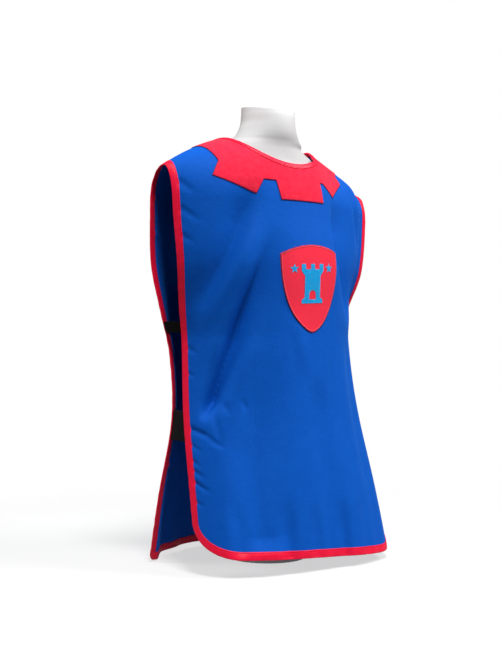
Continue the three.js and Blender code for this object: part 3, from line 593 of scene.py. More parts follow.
def outer_path(panel):
    """Flat points down the wearer's right side, round the corner, along the hem and up the left side."""
    run = CORNER_RUN[panel.name]
    corner = PANEL_HALF - run * (1 - np.cos(np.linspace(0, np.pi / 2, 40)))
    s = np.concatenate([-corner, steps(run - PANEL_HALF, PANEL_HALF - run, 2)[1:-1], corner[::-1]])
    edge = np.stack([s, panel.low(s)], -1)
    ends = np.array([[-PANEL_HALF, 0.0], [PANEL_HALF, 0.0]])
    ends[:, 1] = panel.seam(ends[:, 0])
    return spaced(np.concatenate([ends[:1], edge, ends[1:]]), 2.2)


def neck_path(panel):
    """Flat points round the neck hole from the wearer's left to the right."""
    s = NECK_OFFSET + NECK_HALF * np.cos(np.linspace(0, np.pi, 200))
    return spaced(np.stack([s, panel.neck(s)], -1), 1.6)


def folded_tape(name, panel, path, width, high, low):
    """A tape folded over an edge, whose arms lie above the depth high and below the depth low. Its section
    goes in along one arm and back along the other, round half an ellipse at the fold. The arms swell by the
    root of a sine wave of their width, less a bell shaped groove where they are stitched."""
    arm = np.linspace(width, 0, ARM_POINTS)
    turn = np.linspace(0, np.pi, FOLD_POINTS + 2)[1:-1]
    swell = TAPE_PUFF * np.sqrt(np.sin(np.pi * np.clip(0.08 + 0.87 * arm / width, 0, 1)))
    groove = GROOVE_DEPTH * np.exp(-(((arm - width + STITCH_INSET) / GROOVE_WIDTH) ** 2))
    thick = TAPE + swell - groove
    middle, half = (high + low) / 2, (high - low) / 2
    into = np.concatenate([arm, -FOLD_REACH * np.sin(turn), arm[::-1]])
    outside = np.concatenate([high + thick, middle + (half + thick[-1]) * np.cos(turn), low - thick[::-1]])
    into_under = np.concatenate([arm, -0.4 * FOLD_REACH * np.sin(turn), arm[::-1]])
    inside = np.concatenate([0 * arm + high, middle + half * np.cos(turn), 0 * arm + low])
    reach = 2 * width
    over = panel.point(*beside(panel, path, into, reach), outside)
    under = panel.point(*beside(panel, path, into_under, reach), inside)
    length = np.linspace(0, travelled(path)[-1], len(path))[:, None] + 0 * into
    return wall(name, under, over, np.stack([length, into + 0 * length], -1) * MM)


# ---- the collar ----
# Outer outlines of the battlements, from the wearer's right shoulder seam to the left one.
COLLAR_SEAM = {"right": -146, "left": 138}
COLLAR = {
    "front": [(-131, 606), (-145, 582), (-80, 560), (-67, 581), (-47, 580), (-41, 552),
              (38, 552), (35, 582), (43, 583), (75, 567), (118, 600), (117, 620)],
    "back": [(-128, 624), (-142, 600), (-80, 584), (-67, 607), (-47, 608), (-41, 580),
             (33, 580), (27, 608), (44, 607), (56, 584), (118, 602), (116, 624)],
}
COLLAR_STEP = 1.5
COLLAR_ROWS = 30
COLLAR_EASE = 1.0  # between the collar's inner edge and the neck hole
COLLAR_EDGE = 1.6  # how far in from the cut edge the felt is pressed thinner
COLLAR_PRESSED = 0.55  # share of its thickness that is left at the edge


def collar_outline(panel):
    """The battlements' corners between the two points on the shoulder seam."""
    ends = np.array([COLLAR_SEAM["right"], COLLAR_SEAM["left"]], float)
    ends = np.stack([ends, panel.seam(ends)], -1)
    return np.concatenate([ends[:1], np.array(COLLAR[panel.name], float), ends[1:]])


def make_collar(panel):
    """A grid between the battlements and the neck hole. Each station on the battlements is joined to the
    hole's edge at its own angle round the hole's middle, stretched so that the first and last lie level with
    that middle."""
    corners = collar_outline(panel)
    sides = [spaced(corners[k : k + 2], COLLAR_STEP)[bool(k) :] for k in range(len(corners) - 1)]
    outer = np.concatenate(sides)
    across = NECK_DEPTH[panel.name] * (outer[:, 0] - NECK_OFFSET)
    angle = np.arctan2(across, NECK_HALF * (panel.neck_ends.mean() - outer[:, 1]))
    angle *= np.pi / 2 / np.where(angle < 0, -angle[0], angle[-1])
    s_edge = NECK_OFFSET + NECK_HALF * np.sin(angle)
    s_in = NECK_OFFSET + (NECK_HALF + COLLAR_EASE) * np.sin(angle)
    h_in = np.minimum(panel.neck(s_edge) - COLLAR_EASE * np.cos(angle), panel.seam(s_in))
    share = np.linspace(0, 1, COLLAR_ROWS)[:, None] ** 1.3
    s = outer[:, 0] + (s_in - outer[:, 0]) * share
    h = outer[:, 1] + (h_in - outer[:, 1]) * share
    from_edge = np.hypot(s - outer[:, 0], h - outer[:, 1])
    left = COLLAR_PRESSED + (1 - COLLAR_PRESSED) * ease(from_edge / COLLAR_EDGE)
    high = CLOTH / 2 + EASE + FELT * left
    return slab(f"{panel.name}_collar", panel, s, h, CLOTH / 2 + EASE, high)


OVERCAST_PITCH = 0.8
OVERCAST_INSETS = (-0.45, 1.25)  # of its two rows of needle holes from the cut edge, outside and inside it
OVERCAST_LOW = CLOTH / 2 + 0.2
OVERCAST_RADIUS = 0.3
OVERCAST_LIFT = 0.35


def overcast(name, panel, path, off, reach):
    """Stitches that go to and fro over a cut edge, between the blue cloth outside it and its face inside."""
    line = spaced(path, OVERCAST_PITCH)
    s, h = beside(panel, line, np.array(OVERCAST_INSETS), reach)
    odd = np.arange(len(line)) % 2
    rows = np.arange(len(line))
    s, h = s[rows, odd], h[rows, odd]
    at = panel.point(s, h, np.where(odd, off, OVERCAST_LOW))
    outward = panel.normal(panel.worn, s, h)
    return threads(name, at[:-1], at[1:], outward[:-1], OVERCAST_RADIUS * MM, OVERCAST_LIFT * MM)


# ---- the shield and its emblem ----
PATCH_FACE = CLOTH / 2 + EASE + PATCH
SHIELD_ROWS, SHIELD_COLUMNS = 70, 52
THREAD = 0.42  # pitch of the embroidery's threads
THREAD_RADIUS = 0.27
BORDER = (2.9, 0.9)  # how far in from the shield's edge its stitched border starts and ends
BORDER_LIFT = 0.4
TOWER_FOOT = 396
STAR_HEIGHT = 449
STAR_ACROSS = 33  # of each star from the shield's centre line
STAR_RADII = (8, 3.4)
FILL_STITCH = 3.8  # longest stitch in the emblem's filling
FILL_SHORTEST = 0.7
FILL_SHIFT = 1.3  # how much further on each row's stitches start
FILL_FACE = PATCH_FACE + 0.2
FILL_LIFT = 0.14


def on_shield(across, h):
    """Flat point from the distance across the shield's centre line and the height on it."""
    return np.stack(np.broadcast_arrays(SHIELD_CENTRE + across, h + SHIELD_TILT * across), -1)


def shield_half(t):
    """Half width at the share t of the way from the corners to the tip: a power of 1 - t^SHIELD_POWER."""
    return SHIELD_HALF * np.clip(1 - t**SHIELD_POWER, 0.0002, 1) ** SHIELD_POINT


def crown(across):
    """Rise of the shield's top above its corners: a parabola."""
    return (SHIELD_TOP - SHIELD_CORNER) * (1 - (across / SHIELD_HALF) ** 2)


def make_shield():
    """Rows from the tip up, each as wide as the shield is there, with the crown's arch fading downwards."""
    t = 1 - np.linspace(0, 1, SHIELD_ROWS)[:, None] ** 1.4
    across = np.linspace(-1, 1, SHIELD_COLUMNS) * shield_half(t)
    arch = (1 - t) * crown(across)
    flat = on_shield(across, SHIELD_CORNER + (SHIELD_TIP - SHIELD_CORNER) * t + arch)
    return slab("shield_patch_cloth", front, flat[..., 0], flat[..., 1], CLOTH / 2 + EASE, PATCH_FACE)


def shield_outline():
    """Flat points round the shield with its inside on the left: along the top to the wearer's right, down
    that side to the tip and up the other."""
    across = np.linspace(SHIELD_HALF, -SHIELD_HALF, 90)
    top = np.stack([across, SHIELD_CORNER + crown(across)], -1)
    t = 1 - (1 - np.linspace(0, 1, 160)) ** 2
    down = np.stack([-shield_half(t), SHIELD_CORNER + (SHIELD_TIP - SHIELD_CORNER) * t], -1)
    path = np.concatenate([top[:-1], down, (down * [-1, 1])[::-1]])
    return on_shield(*path.T)


def make_border():
    """Threads laid side by side on the shield's face, just inside its overcast edge."""
    line = spaced(shield_outline(), THREAD)
    s, h = beside(front, line, np.array(BORDER), 1)
    start = front.point(s[:, 0], h[:, 0], PATCH_FACE)
    end = front.point(s[:, 1], h[:, 1], PATCH_FACE)
    outward = front.normal(front.worn, line[:, 0], line[:, 1])
    return threads("shield_border", start, end, outward, THREAD_RADIUS * MM, BORDER_LIFT * MM)


def in_tower(s, h):
    """Inside a battlemented tower on a plinth: a half width that changes with height, less two notches at the
    top and a round headed door."""
    h = h - TOWER_FOOT
    across = np.abs(s)
    half = np.interp(h, [0, 6, 9, 42, 49, 60], [20, 20, 15, 15, 21, 21])
    notch = (h > 52) & (across > 4) & (across < 13)
    door = (across < 6) & (h > 6) & (h < 14 + np.sqrt(np.maximum(36 - s**2, 0)))
    return (across < half) & (h > 0) & (h < 60) & ~notch & ~door


def in_star(s, h):
    """Inside a five pointed star: a point's angle is folded to the nearest half of a ray, and it has to be on
    the inner side of the line from the ray's tip to the notch beside it."""
    h = h - STAR_HEIGHT
    radius = np.hypot(s, h)
    fold = 2 * np.pi / 5
    angle = np.abs((np.arctan2(h, s) - np.pi / 2 + fold / 2) % fold - fold / 2)
    tip, notch = STAR_RADII
    notch_x, notch_y = notch * math.cos(fold / 2), notch * math.sin(fold / 2)
    x, y = radius * np.cos(angle), radius * np.sin(angle)
    return (notch_x - tip) * y - notch_y * (x - tip) > 0


def filling(name, inside, centre, half, low, high):
    """A shape filled with rows of stitches that lie across it. Each row's stitches are cut at its edges, and
    start further on than those of the row below."""
    fine = np.arange(-half, half, 0.1)
    runs = []
    for k, h in enumerate(np.arange(low, high, THREAD)):
        mask = np.concatenate([[False], inside(fine, h + 0 * fine), [False]])
        edges = np.flatnonzero(np.diff(mask.astype(int)))
        for a, b in fine[np.minimum(edges, len(fine) - 1)].reshape(-1, 2):
            cuts = np.arange(a - (k * FILL_SHIFT) % FILL_STITCH, b, FILL_STITCH)
            cuts = cuts[(cuts > a + FILL_SHORTEST) & (cuts < b - FILL_SHORTEST)]
            cuts = np.concatenate([[a], cuts, [b]])
            runs += [(cuts[j], cuts[j + 1], h) for j in range(len(cuts) - 1)]
    left, right, h = np.array(runs).T
    start_s, start_h = on_shield(centre + left, h).T
    end_s, end_h = on_shield(centre + right, h).T
    start, end = front.point(start_s, start_h, FILL_FACE), front.point(end_s, end_h, FILL_FACE)
    outward = front.normal(front.worn, start_s, start_h)
    return threads(name, start, end, outward, THREAD_RADIUS * MM, FILL_LIFT * MM)


# ---- the elastics ----
ELASTIC = 1.3
ELASTIC_REACH = 24  # length that is sewn down inside each panel
ELASTIC_GAP = 0.3  # air between it and the tape
ELASTIC_STATIONS = 48
ELASTIC_RIB = 1.5
RIB_HEIGHT = 0.11
ELASTICS = [("upper", 360, 17), ("lower", 211, 45)]  # name, middle height, width


def curve_through(points, count):
    """count points along smooth curves through the second last axis of points: Hermite cubics over knots that
    are the root of the chord apart, with central differences for slopes."""
    chord = np.linalg.norm(np.diff(points.reshape(-1, *points.shape[-2:])[0], axis=0), axis=-1)
    knots = np.concatenate([[0], np.cumsum(np.sqrt(chord))])
    after, before = neighbours(len(knots))
    slopes = (points[..., after, :] - points[..., before, :]) / (knots[after] - knots[before])[:, None]
    at = np.linspace(0, knots[-1], count)
    k = np.clip(np.searchsorted(knots, at) - 1, 0, len(knots) - 2)
    span = (knots[k + 1] - knots[k])[:, None]
    ends = points[..., k, :], points[..., k + 1, :], slopes[..., k, :], slopes[..., k + 1, :]
    return hermite((at - knots[k])[:, None] / span, span, *ends)


def make_elastic(name, side, middle, width):
    """A band from inside the front's tape to inside the back's. Each of its rows is a smooth curve through
    four stations inside each panel, and its faces carry ribs along it that are a cosine of the height."""
    off = -(CLOTH / 2 + EASE + TAPE + TAPE_PUFF + ELASTIC_GAP + ELASTIC / 2)
    h = middle + width * np.linspace(-0.5, 0.5, round(width / ELASTIC_RIB * 4) + 1)[:, None]
    s = side * (PANEL_HALF - ELASTIC_REACH * np.array([1, 0.6, 0.2, -0.15]))
    stations = np.concatenate([front.point(s, h, off), back.point(s[::-1], h, off)], 1)
    centre = curve_through(stations, ELASTIC_STATIONS)
    along = np.gradient(centre, axis=1)
    square = np.cross(along, [0, 0, 1])
    square /= np.linalg.norm(square, axis=-1, keepdims=True)
    rib = 0.5 * ELASTIC + RIB_HEIGHT * np.cos(2 * np.pi * (h - middle) / ELASTIC_RIB)
    rib = np.where(np.abs(h - middle) > 0.49 * width, 0.6 * rib, rib)[..., None] * MM
    length = np.linspace(0, 1, ELASTIC_STATIONS) * travelled(centre[0, :, :2])[-1]
    uv = np.stack([length + 0 * h, h * MM + 0 * length], -1)
    return wall(name, centre - square * rib, centre + square * rib, uv)


# ---- the dress form ----
# right and left = half widths on each side of the centre plane, depth = half depth, centre = how far forward
# the section's middle is.
FORM_COLUMNS = [(name, float) for name in ("height", "right", "left", "depth", "centre")]
FORM_BODY = [
    (150, 108, 108, 76, 0),
    (158, 118, 118, 83, 0),
    (190, 124, 124, 88, 0),
    (260, 116, 116, 82, 0),
    (330, 106, 106, 74, 0),
    (400, 110, 110, 75, 0),
    (470, 122, 120, 76, 0),
    (530, 136, 132, 72, 0),
    (570, 146, 140, 64, 0),
]
FORM_SHOULDERS = [(52, 56), (42, 51), (33, 48), (25, 46), (19, 45)]  # fall below SHOULDER_TOP, half depth
FORM_NECK = [
    (655, 72, 60, 45, 0),
    (662, 61, 54, 45, 1),
    (669, 54, 50, 45, 1.5),
    (677, 49, 46.5, 44.5, 2),
    (687, 45, 44, 44, 2.5),
    (700, 43.5, 43, 43.5, 3),
    (710, 43, 43, 43, 3),
]
FORM_SHOULDER_HALF = 150
FORM_CLEARANCE = 5.6  # form below the middle of the cloth at the shoulders
FORM_LEFT_LOWER = 6
NECK_RIM = 3.0  # radius of the neck's rim
NECK_CAP_INSETS = [12, 24, 34]  # of the cap's rings from the rim
NECK_CAP_SLANT = 0.15  # the neck's cap is lower in front, by this much for each millimetre
NECK_SLANT_FROM, NECK_SLANT_RUN = 690, 22  # where the slant starts, and the height it takes to come in
FORM_SIDES = 120
FORM_FINE = 600  # above this height its rings are closer together
POST_RADIUS = 11
POST_TOP = 151.8
POST_GAP = 0.3  # air between the post and the base plate
BASE_RADIUS = 60
BASE_HEIGHT = 6
BASE_EDGE = 1.5  # radius of its rounded upper edge


def loft(name, rings):
    """A closed skin over rings of vertices, with a pole in the middle of the first ring and of the last."""
    rows, columns = rings.shape[:2]
    j = np.arange(columns)
    after = (j + 1) % columns
    last = (rows - 1) * columns
    faces = np.concatenate([
        triangles(grid_faces(rows, columns, closed=True)),
        np.stack([0 * j + rows * columns, after, j], -1),
        np.stack([0 * j + rows * columns + 1, last + j, last + after], -1),
    ])
    poles = np.stack([rings[0].mean(0), rings[-1].mean(0)])
    return new_piece(name, np.concatenate([rings.reshape(-1, 3), poles]), faces)


def make_torso():
    """Sections of two half ellipses, smoothed up the form. Its shoulders keep FORM_CLEARANCE under the
    cloth's shoulder line, and its neck ends in a rim that is a quarter circle and a flat slanted cap."""
    fall, depth = np.array(FORM_SHOULDERS, float).T
    right = SHOULDER_HALF * ((fall - FORM_CLEARANCE) / DROP_RIGHT) ** (1 / DROP_POWER)
    both = 2 * (1 - LEFT_BEND) * (fall - FORM_CLEARANCE - FORM_LEFT_LOWER) / DROP_LEFT
    left = SHOULDER_HALF * (LEFT_BEND + (both - LEFT_BEND_SOFT**2 / both) / 2)
    right = np.minimum(right, FORM_SHOULDER_HALF)
    left = np.maximum(left, FORM_NECK[0][2])
    shoulders = list(zip(SHOULDER_TOP - fall, right, left, depth, 0 * fall))
    rows = np.array(FORM_BODY + shoulders + FORM_NECK, FORM_COLUMNS)
    foot, top = FORM_BODY[0][0], FORM_NECK[-1][0]
    rings_at = [np.linspace(foot, FORM_FINE, 90), np.linspace(FORM_FINE, top, 70)]
    heights = np.unique(np.concatenate(rings_at))
    rim = np.linspace(0, np.pi / 2, 7)[1:]
    shrink = np.concatenate([0 * heights, NECK_RIM * (1 - np.cos(rim)), NECK_CAP_INSETS])
    cap = len(NECK_CAP_INSETS) * [top + NECK_RIM]
    z = np.concatenate([heights, top + NECK_RIM * np.sin(rim), cap])[:, None]
    angle = np.arange(FORM_SIDES) / FORM_SIDES * 2 * np.pi
    at = {column: through(rows, column, z) - shrink[:, None] for column in ("right", "left", "depth")}
    x = np.where(np.cos(angle) > 0, at["left"], at["right"]) * np.cos(angle)
    y = at["depth"] * np.sin(angle)
    slant = NECK_CAP_SLANT * y * ease((z - NECK_SLANT_FROM) / NECK_SLANT_RUN)
    rings = np.stack([x, y - through(rows, "centre", z), z + slant + HEM_CLEARANCE], -1)
    return loft("form_body", rings * MM)


def turned(name, profile, sides=96):
    """A solid of revolution from rows of (radius, height)."""
    radius, height = np.array(profile, float).T[..., None]
    angle = np.arange(sides) / sides * 2 * np.pi
    return loft(name, np.stack([radius * np.cos(angle), radius * np.sin(angle), height + 0 * angle], -1) * MM)


# ---- node groups and materials ----
def node(tree, kind, inputs=(), **settings):
    """Adds a node. settings are its properties, and inputs gives sockets a value or another node's output."""
    made = tree.nodes.new(kind)
    for key, value in settings.items():
        setattr(made, key, value)
    for key, value in dict(inputs).items():
        if isinstance(value, bpy.types.NodeSocket):
            tree.links.new(value, made.inputs[key])
        else:
            made.inputs[key].default_value = value
    return made


def calc(tree, operation, *values):
    """The result of one sum on sockets and numbers."""
    return node(tree, "ShaderNodeMath", enumerate(values), operation=operation).outputs[0]


def noise(tree, place, scale, detail, roughness=0.5):
    """Smooth noise from 0 to 1."""
    inputs = {"Vector": place, "Scale": scale, "Detail": detail, "Roughness": roughness}
    return node(tree, "ShaderNodeTexNoise", inputs).outputs[0]


def blend(tree, first, share, second):
    """share of the first value and the rest of the second."""
    return calc(tree, "MULTIPLY_ADD", first, share, calc(tree, "MULTIPLY", second, 1 - share))


def new_group(name, inputs, outputs):
    """A shader node group with float and vector sockets, and its input node."""
    tree = bpy.data.node_groups.new(name, "ShaderNodeTree")
    for label, value in inputs.items():
        kind = "NodeSocketVector" if value is None else "NodeSocketFloat"
        socket = tree.interface.new_socket(label, in_out="INPUT", socket_type=kind)
        if value is not None:
            socket.default_value = value
    for label in outputs:
        tree.interface.new_socket(label, in_out="OUTPUT", socket_type="NodeSocketFloat")
    return tree, tree.nodes.new("NodeGroupInput")


def close_group(tree, **outputs):
    """Joins sockets to the group's named outputs."""
    end = tree.nodes.new("NodeGroupOutput")
    for label, socket in outputs.items():
        tree.links.new(socket, end.inputs[label])
    return tree


def weave_group():
    """Plain weave over a cut's UV map: the product of two sines, one along each set of threads. Its size is
    the height, and its sign tells warp from weft. Slubs make some threads thicker than others."""
    inputs = {"Cut": None, "Pitch": 0.0005, "Slub": 0.2}
    tree, given = new_group("Plain Weave", inputs, ("Height", "Warp"))
    cut = node(tree, "ShaderNodeSeparateXYZ", {0: given.outputs["Cut"]})
    waves = []
    for axis in (0, 1):
        stretch = node(tree, "ShaderNodeCombineXYZ", {axis: cut.outputs[axis]})
        slub = noise(tree, stretch.outputs[0], 900.0, 1.0)
        shift = calc(tree, "MULTIPLY", slub, given.outputs["Slub"])
        threads_in = calc(tree, "DIVIDE", cut.outputs[axis], given.outputs["Pitch"])
        turn = calc(tree, "MULTIPLY", calc(tree, "ADD", threads_in, shift), math.pi)
        waves.append(calc(tree, "SINE", turn))
    both = calc(tree, "MULTIPLY", *waves)
    height = calc(tree, "POWER", calc(tree, "ABSOLUTE", both), 0.6)
    warp = calc(tree, "MULTIPLY_ADD", both, 0.5, 0.5)
    return close_group(tree, Height=height, Warp=warp)


def mottle_group():
    """Soft uneven patches: two sizes of noise, one four times as fine as the other."""
    tree, given = new_group("Mottle", {"Place": None, "Size": 0.05, "Contrast": 1.0}, ("Share",))
    scale = calc(tree, "DIVIDE", 1.0, given.outputs["Size"])
    broad = noise(tree, given.outputs["Place"], scale, 2.0)
    fine = noise(tree, given.outputs["Place"], calc(tree, "MULTIPLY", scale, 4.0), 2.0)
    mean = blend(tree, fine, 0.35, broad)
    spread = calc(tree, "MULTIPLY", calc(tree, "SUBTRACT", mean, 0.5), given.outputs["Contrast"])
    share = node(tree, "ShaderNodeClamp", {0: calc(tree, "ADD", spread, 0.5)})
    return close_group(tree, Share=share.outputs[0])


def felt_group():
    """Matted fibres: noise that is squeezed one way over noise that is squeezed the other."""
    tree, given = new_group("Felt Fibres", {"Place": None, "Size": 0.0012}, ("Height",))
    scale = calc(tree, "DIVIDE", 1.0, given.outputs["Size"])
    layers = []
    for stretch in ((1.0, 4.0, 2.0), (4.0, 1.0, 2.0)):
        place = node(tree, "ShaderNodeMapping", {0: given.outputs["Place"], "Scale": stretch}).outputs[0]
        layers.append(noise(tree, place, scale, 3.0, 0.7))
    return close_group(tree, Height=calc(tree, "MAXIMUM", *layers))


def ribs_group():
    """Parallel cords: half a sine wave of the distance along one axis of the cut, with a little waver."""
    tree, given = new_group("Ribs", {"Along": 0.0, "Waver": None, "Pitch": 0.001}, ("Height",))
    waver = noise(tree, given.outputs["Waver"], 300.0, 1.0)
    count = calc(tree, "DIVIDE", given.outputs["Along"], given.outputs["Pitch"])
    turn = calc(tree, "MULTIPLY", calc(tree, "MULTIPLY_ADD", waver, 0.25, count), math.pi)
    return close_group(tree, Height=calc(tree, "ABSOLUTE", calc(tree, "SINE", turn)))


GROUPS = {"weave": weave_group(), "mottle": mottle_group(), "felt": felt_group(), "ribs": ribs_group()}


def use(tree, group, **inputs):
    """Places a node group in a material with its own values."""
    return node(tree, "ShaderNodeGroup", inputs, node_tree=GROUPS[group])


def new_material(name, roughness, sheen=0.0, sheen_roughness=0.4, sheen_tint=(1, 1, 1), specular=0.5):
    """A material with its constant values set on the shader's own sockets."""
    material = bpy.data.materials.new(name)
    material.use_nodes = True
    tree = material.node_tree
    shader = tree.nodes["Principled BSDF"]
    shader.inputs["Roughness"].default_value = roughness
    shader.inputs["Specular IOR Level"].default_value = specular
    shader.inputs["Sheen Weight"].default_value = sheen
    shader.inputs["Sheen Roughness"].default_value = sheen_roughness
    shader.inputs["Sheen Tint"].default_value = (*sheen_tint, 1)
    return material, tree, shader


def tint(tree, shader, share, dark, light):
    """Base Color between two colours."""
    mix = node(tree, "ShaderNodeMix", {0: share}, data_type="RGBA")
    mix.inputs[6].default_value = (*dark, 1)
    mix.inputs[7].default_value = (*light, 1)
    tree.links.new(mix.outputs[2], shader.inputs["Base Color"])


def relief(tree, shader, *layers):
    """Bump nodes in a chain, from (height, depth in metres) pairs."""
    normal = None
    for height, depth in layers:
        inputs = {"Height": height, "Distance": depth, "Strength": 1.0}
        if normal is not None:
            inputs["Normal"] = normal
        normal = node(tree, "ShaderNodeBump", inputs).outputs[0]
    tree.links.new(normal, shader.inputs["Normal"])


def places(tree):
    """The cut's UV map and the object coordinates."""
    cut = node(tree, "ShaderNodeUVMap", uv_map="cut").outputs[0]
    return cut, node(tree, "ShaderNodeTexCoord").outputs["Object"]


def blue_cloth():
    """Thin polyester in plain weave, with a soft sheen and a faint unevenness in the dye."""
    material, tree, shader = new_material(
        "blue polyester", 0.62, sheen=0.22, sheen_roughness=0.35, sheen_tint=(0.05, 0.30, 1.0), specular=0.06
    )
    cut, place = places(tree)
    weave = use(tree, "weave", Cut=cut, Pitch=0.00045, Slub=0.35)
    dye = use(tree, "mottle", Place=place, Size=0.06, Contrast=1.2)
    share = blend(tree, weave.outputs["Warp"], 0.35, dye.outputs[0])
    tint(tree, shader, share, (0.001, 0.075, 0.43), (0.003, 0.108, 0.56))
    crinkle = use(tree, "mottle", Place=place, Size=0.011, Contrast=1.0)
    relief(tree, shader, (crinkle.outputs[0], 0.0006), (weave.outputs["Height"], 0.00003))
    return material


def red_tape():
    """Smooth bias tape: the weave runs across the tape at 45 degrees, and it shines a little."""
    material, tree, shader = new_material(
        "red bias tape", 0.38, sheen=0.06, sheen_roughness=0.3, sheen_tint=(1.0, 0.2, 0.3), specular=0.22
    )
    cut, place = places(tree)
    bias = node(tree, "ShaderNodeMapping", {0: cut, "Rotation": (0, 0, math.pi / 4)}).outputs[0]
    weave = use(tree, "weave", Cut=bias, Pitch=0.0004, Slub=0.3)
    dye = use(tree, "mottle", Place=place, Size=0.03, Contrast=1.5)
    tint(tree, shader, dye.outputs[0], (0.80, 0.003, 0.032), (0.96, 0.007, 0.055))
    drawn = use(tree, "mottle", Place=place, Size=0.004, Contrast=1.0)
    relief(tree, shader, (drawn.outputs[0], 0.0004), (weave.outputs["Height"], 0.00003))
    return material


def red_felt():
    """Felt: matt, with matted fibres and a slightly mottled colour."""
    material, tree, shader = new_material(
        "red felt", 0.9, sheen=0.3, sheen_roughness=0.4, sheen_tint=(1.0, 0.25, 0.3), specular=0.05
    )
    _, place = places(tree)
    fibres = use(tree, "felt", Place=place, Size=0.0016)
    patches = use(tree, "mottle", Place=place, Size=0.008, Contrast=2.4)
    share = blend(tree, fibres.outputs[0], 0.5, patches.outputs[0])
    tint(tree, shader, share, (0.70, 0.010, 0.035), (0.95, 0.035, 0.08))
    relief(tree, shader, (patches.outputs[0], 0.0003), (fibres.outputs[0], 0.00025))
    return material


def red_patch():
    """The shield's filling: ribs of stitching across it."""
    material, tree, shader = new_material(
        "red ribbed patch", 0.65, sheen=0.2, sheen_roughness=0.4, sheen_tint=(1.0, 0.3, 0.35), specular=0.15
    )
    cut, place = places(tree)
    along = node(tree, "ShaderNodeSeparateXYZ", {0: cut}).outputs[1]
    ribs = use(tree, "ribs", Along=along, Waver=place, Pitch=0.0012)
    patches = use(tree, "mottle", Place=place, Size=0.01, Contrast=1.6)
    share = blend(tree, ribs.outputs[0], 0.5, patches.outputs[0])
    tint(tree, shader, share, (0.95, 0.012, 0.04), (1.0, 0.03, 0.075))
    relief(tree, shader, (ribs.outputs[0], 0.00035))
    return material


def thread(name, dark, light, roughness=0.35):
    """Shiny embroidery thread, a little uneven in colour."""
    material, tree, shader = new_material(
        name, roughness, sheen=0.04, sheen_roughness=0.3, sheen_tint=light, specular=0.15
    )
    _, place = places(tree)
    patches = use(tree, "mottle", Place=place, Size=0.003, Contrast=2.0)
    tint(tree, shader, patches.outputs[0], dark, light)
    relief(tree, shader, (patches.outputs[0], 0.0001))
    return material


def black_elastic():
    """Knitted elastic: ribs along it and finer rows of loops across."""
    material, tree, shader = new_material(
        "black elastic", 0.8, sheen=0.03, sheen_roughness=0.5, sheen_tint=(0.6, 0.6, 0.6), specular=0.08
    )
    cut, place = places(tree)
    along = node(tree, "ShaderNodeSeparateXYZ", {0: cut}).outputs[0]
    loops = use(tree, "ribs", Along=along, Waver=place, Pitch=0.0009)
    tint(tree, shader, loops.outputs[0], (0.002, 0.002, 0.002), (0.006, 0.0055, 0.005))
    relief(tree, shader, (loops.outputs[0], 0.0002))
    return material


def form_skin():
    """A smooth pale moulding with a faint orange peel, painted darker below the neck and paler up it: painted
    shade on the shoulders' shelf, and painted light on the neck.
    """
    material, tree, shader = new_material("form shell", 0.6, specular=0.2)
    _, place = places(tree)
    patches = use(tree, "mottle", Place=place, Size=0.09, Contrast=1.0)
    peel = use(tree, "mottle", Place=place, Size=0.0022, Contrast=1.0)
    height = node(tree, "ShaderNodeSeparateXYZ", {0: place}).outputs[2]
    # painted shade and light: the colour runs from dark below the neck to pale up the neck
    neck = {0: height, "From Min": 0.655, "From Max": 0.715, "To Min": 0.0, "To Max": 0.8}
    painted_shading = node(tree, "ShaderNodeMapRange", neck, interpolation_type="SMOOTHSTEP").outputs[0]
    share = calc(tree, "MULTIPLY_ADD", patches.outputs[0], 0.2, painted_shading)
    tint(tree, shader, share, (0.42, 0.42, 0.42), (0.86, 0.86, 0.86))
    relief(tree, shader, (peel.outputs[0], 0.00004))
    return material


def stand_paint():
    """Satin paint over steel."""
    material, tree, shader = new_material("stand paint", 0.38, specular=0.5)
    _, place = places(tree)
    peel = use(tree, "mottle", Place=place, Size=0.0015, Contrast=1.0)
    tint(tree, shader, peel.outputs[0], (0.72, 0.72, 0.71), (0.8, 0.8, 0.79))
    relief(tree, shader, (peel.outputs[0], 0.00003))
    return material


# ---- put together ----
def dress(piece, slot, material, *nodes):
    """Gives a piece its material and body, and hides the solids that it stands for. Its slot is not used."""
    piece.data.materials.append(material)
    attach(piece, "root")
    if nodes:
        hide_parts(*nodes)
    return piece


BLUE, TAPE_RED, FELT_RED, PATCH_RED = blue_cloth(), red_tape(), red_felt(), red_patch()
TAPE_THREAD = thread("red sewing thread", (0.50, 0.003, 0.025), (0.70, 0.006, 0.045), 0.45)
# dark overcast thread round the collar and the shield: partly the thread's own colour, partly painted shade
# along their cut edges
EDGE_THREAD_AND_SHADE = thread("dark plum thread with painted edge shade", (0.035, 0.003, 0.045), (0.09, 0.004, 0.06), 0.5)
# the shield's border stitches: their pale rose colour is partly painted highlight along the shield's satin
# edge
BORDER_THREAD_HIGHLIGHT = thread("rose thread with painted edge highlight", (0.85, 0.05, 0.09), (0.95, 0.12, 0.16))
CYAN_THREAD = thread("light blue embroidery thread", (0.002, 0.42, 0.90), (0.010, 0.56, 1.0))
ELASTIC_BLACK, SHELL, PAINT = black_elastic(), form_skin(), stand_paint()

TAPE_NEAR = CLOTH / 2 + EASE
COLLAR_NEAR = CLOTH / 2 + 2 * EASE + FELT


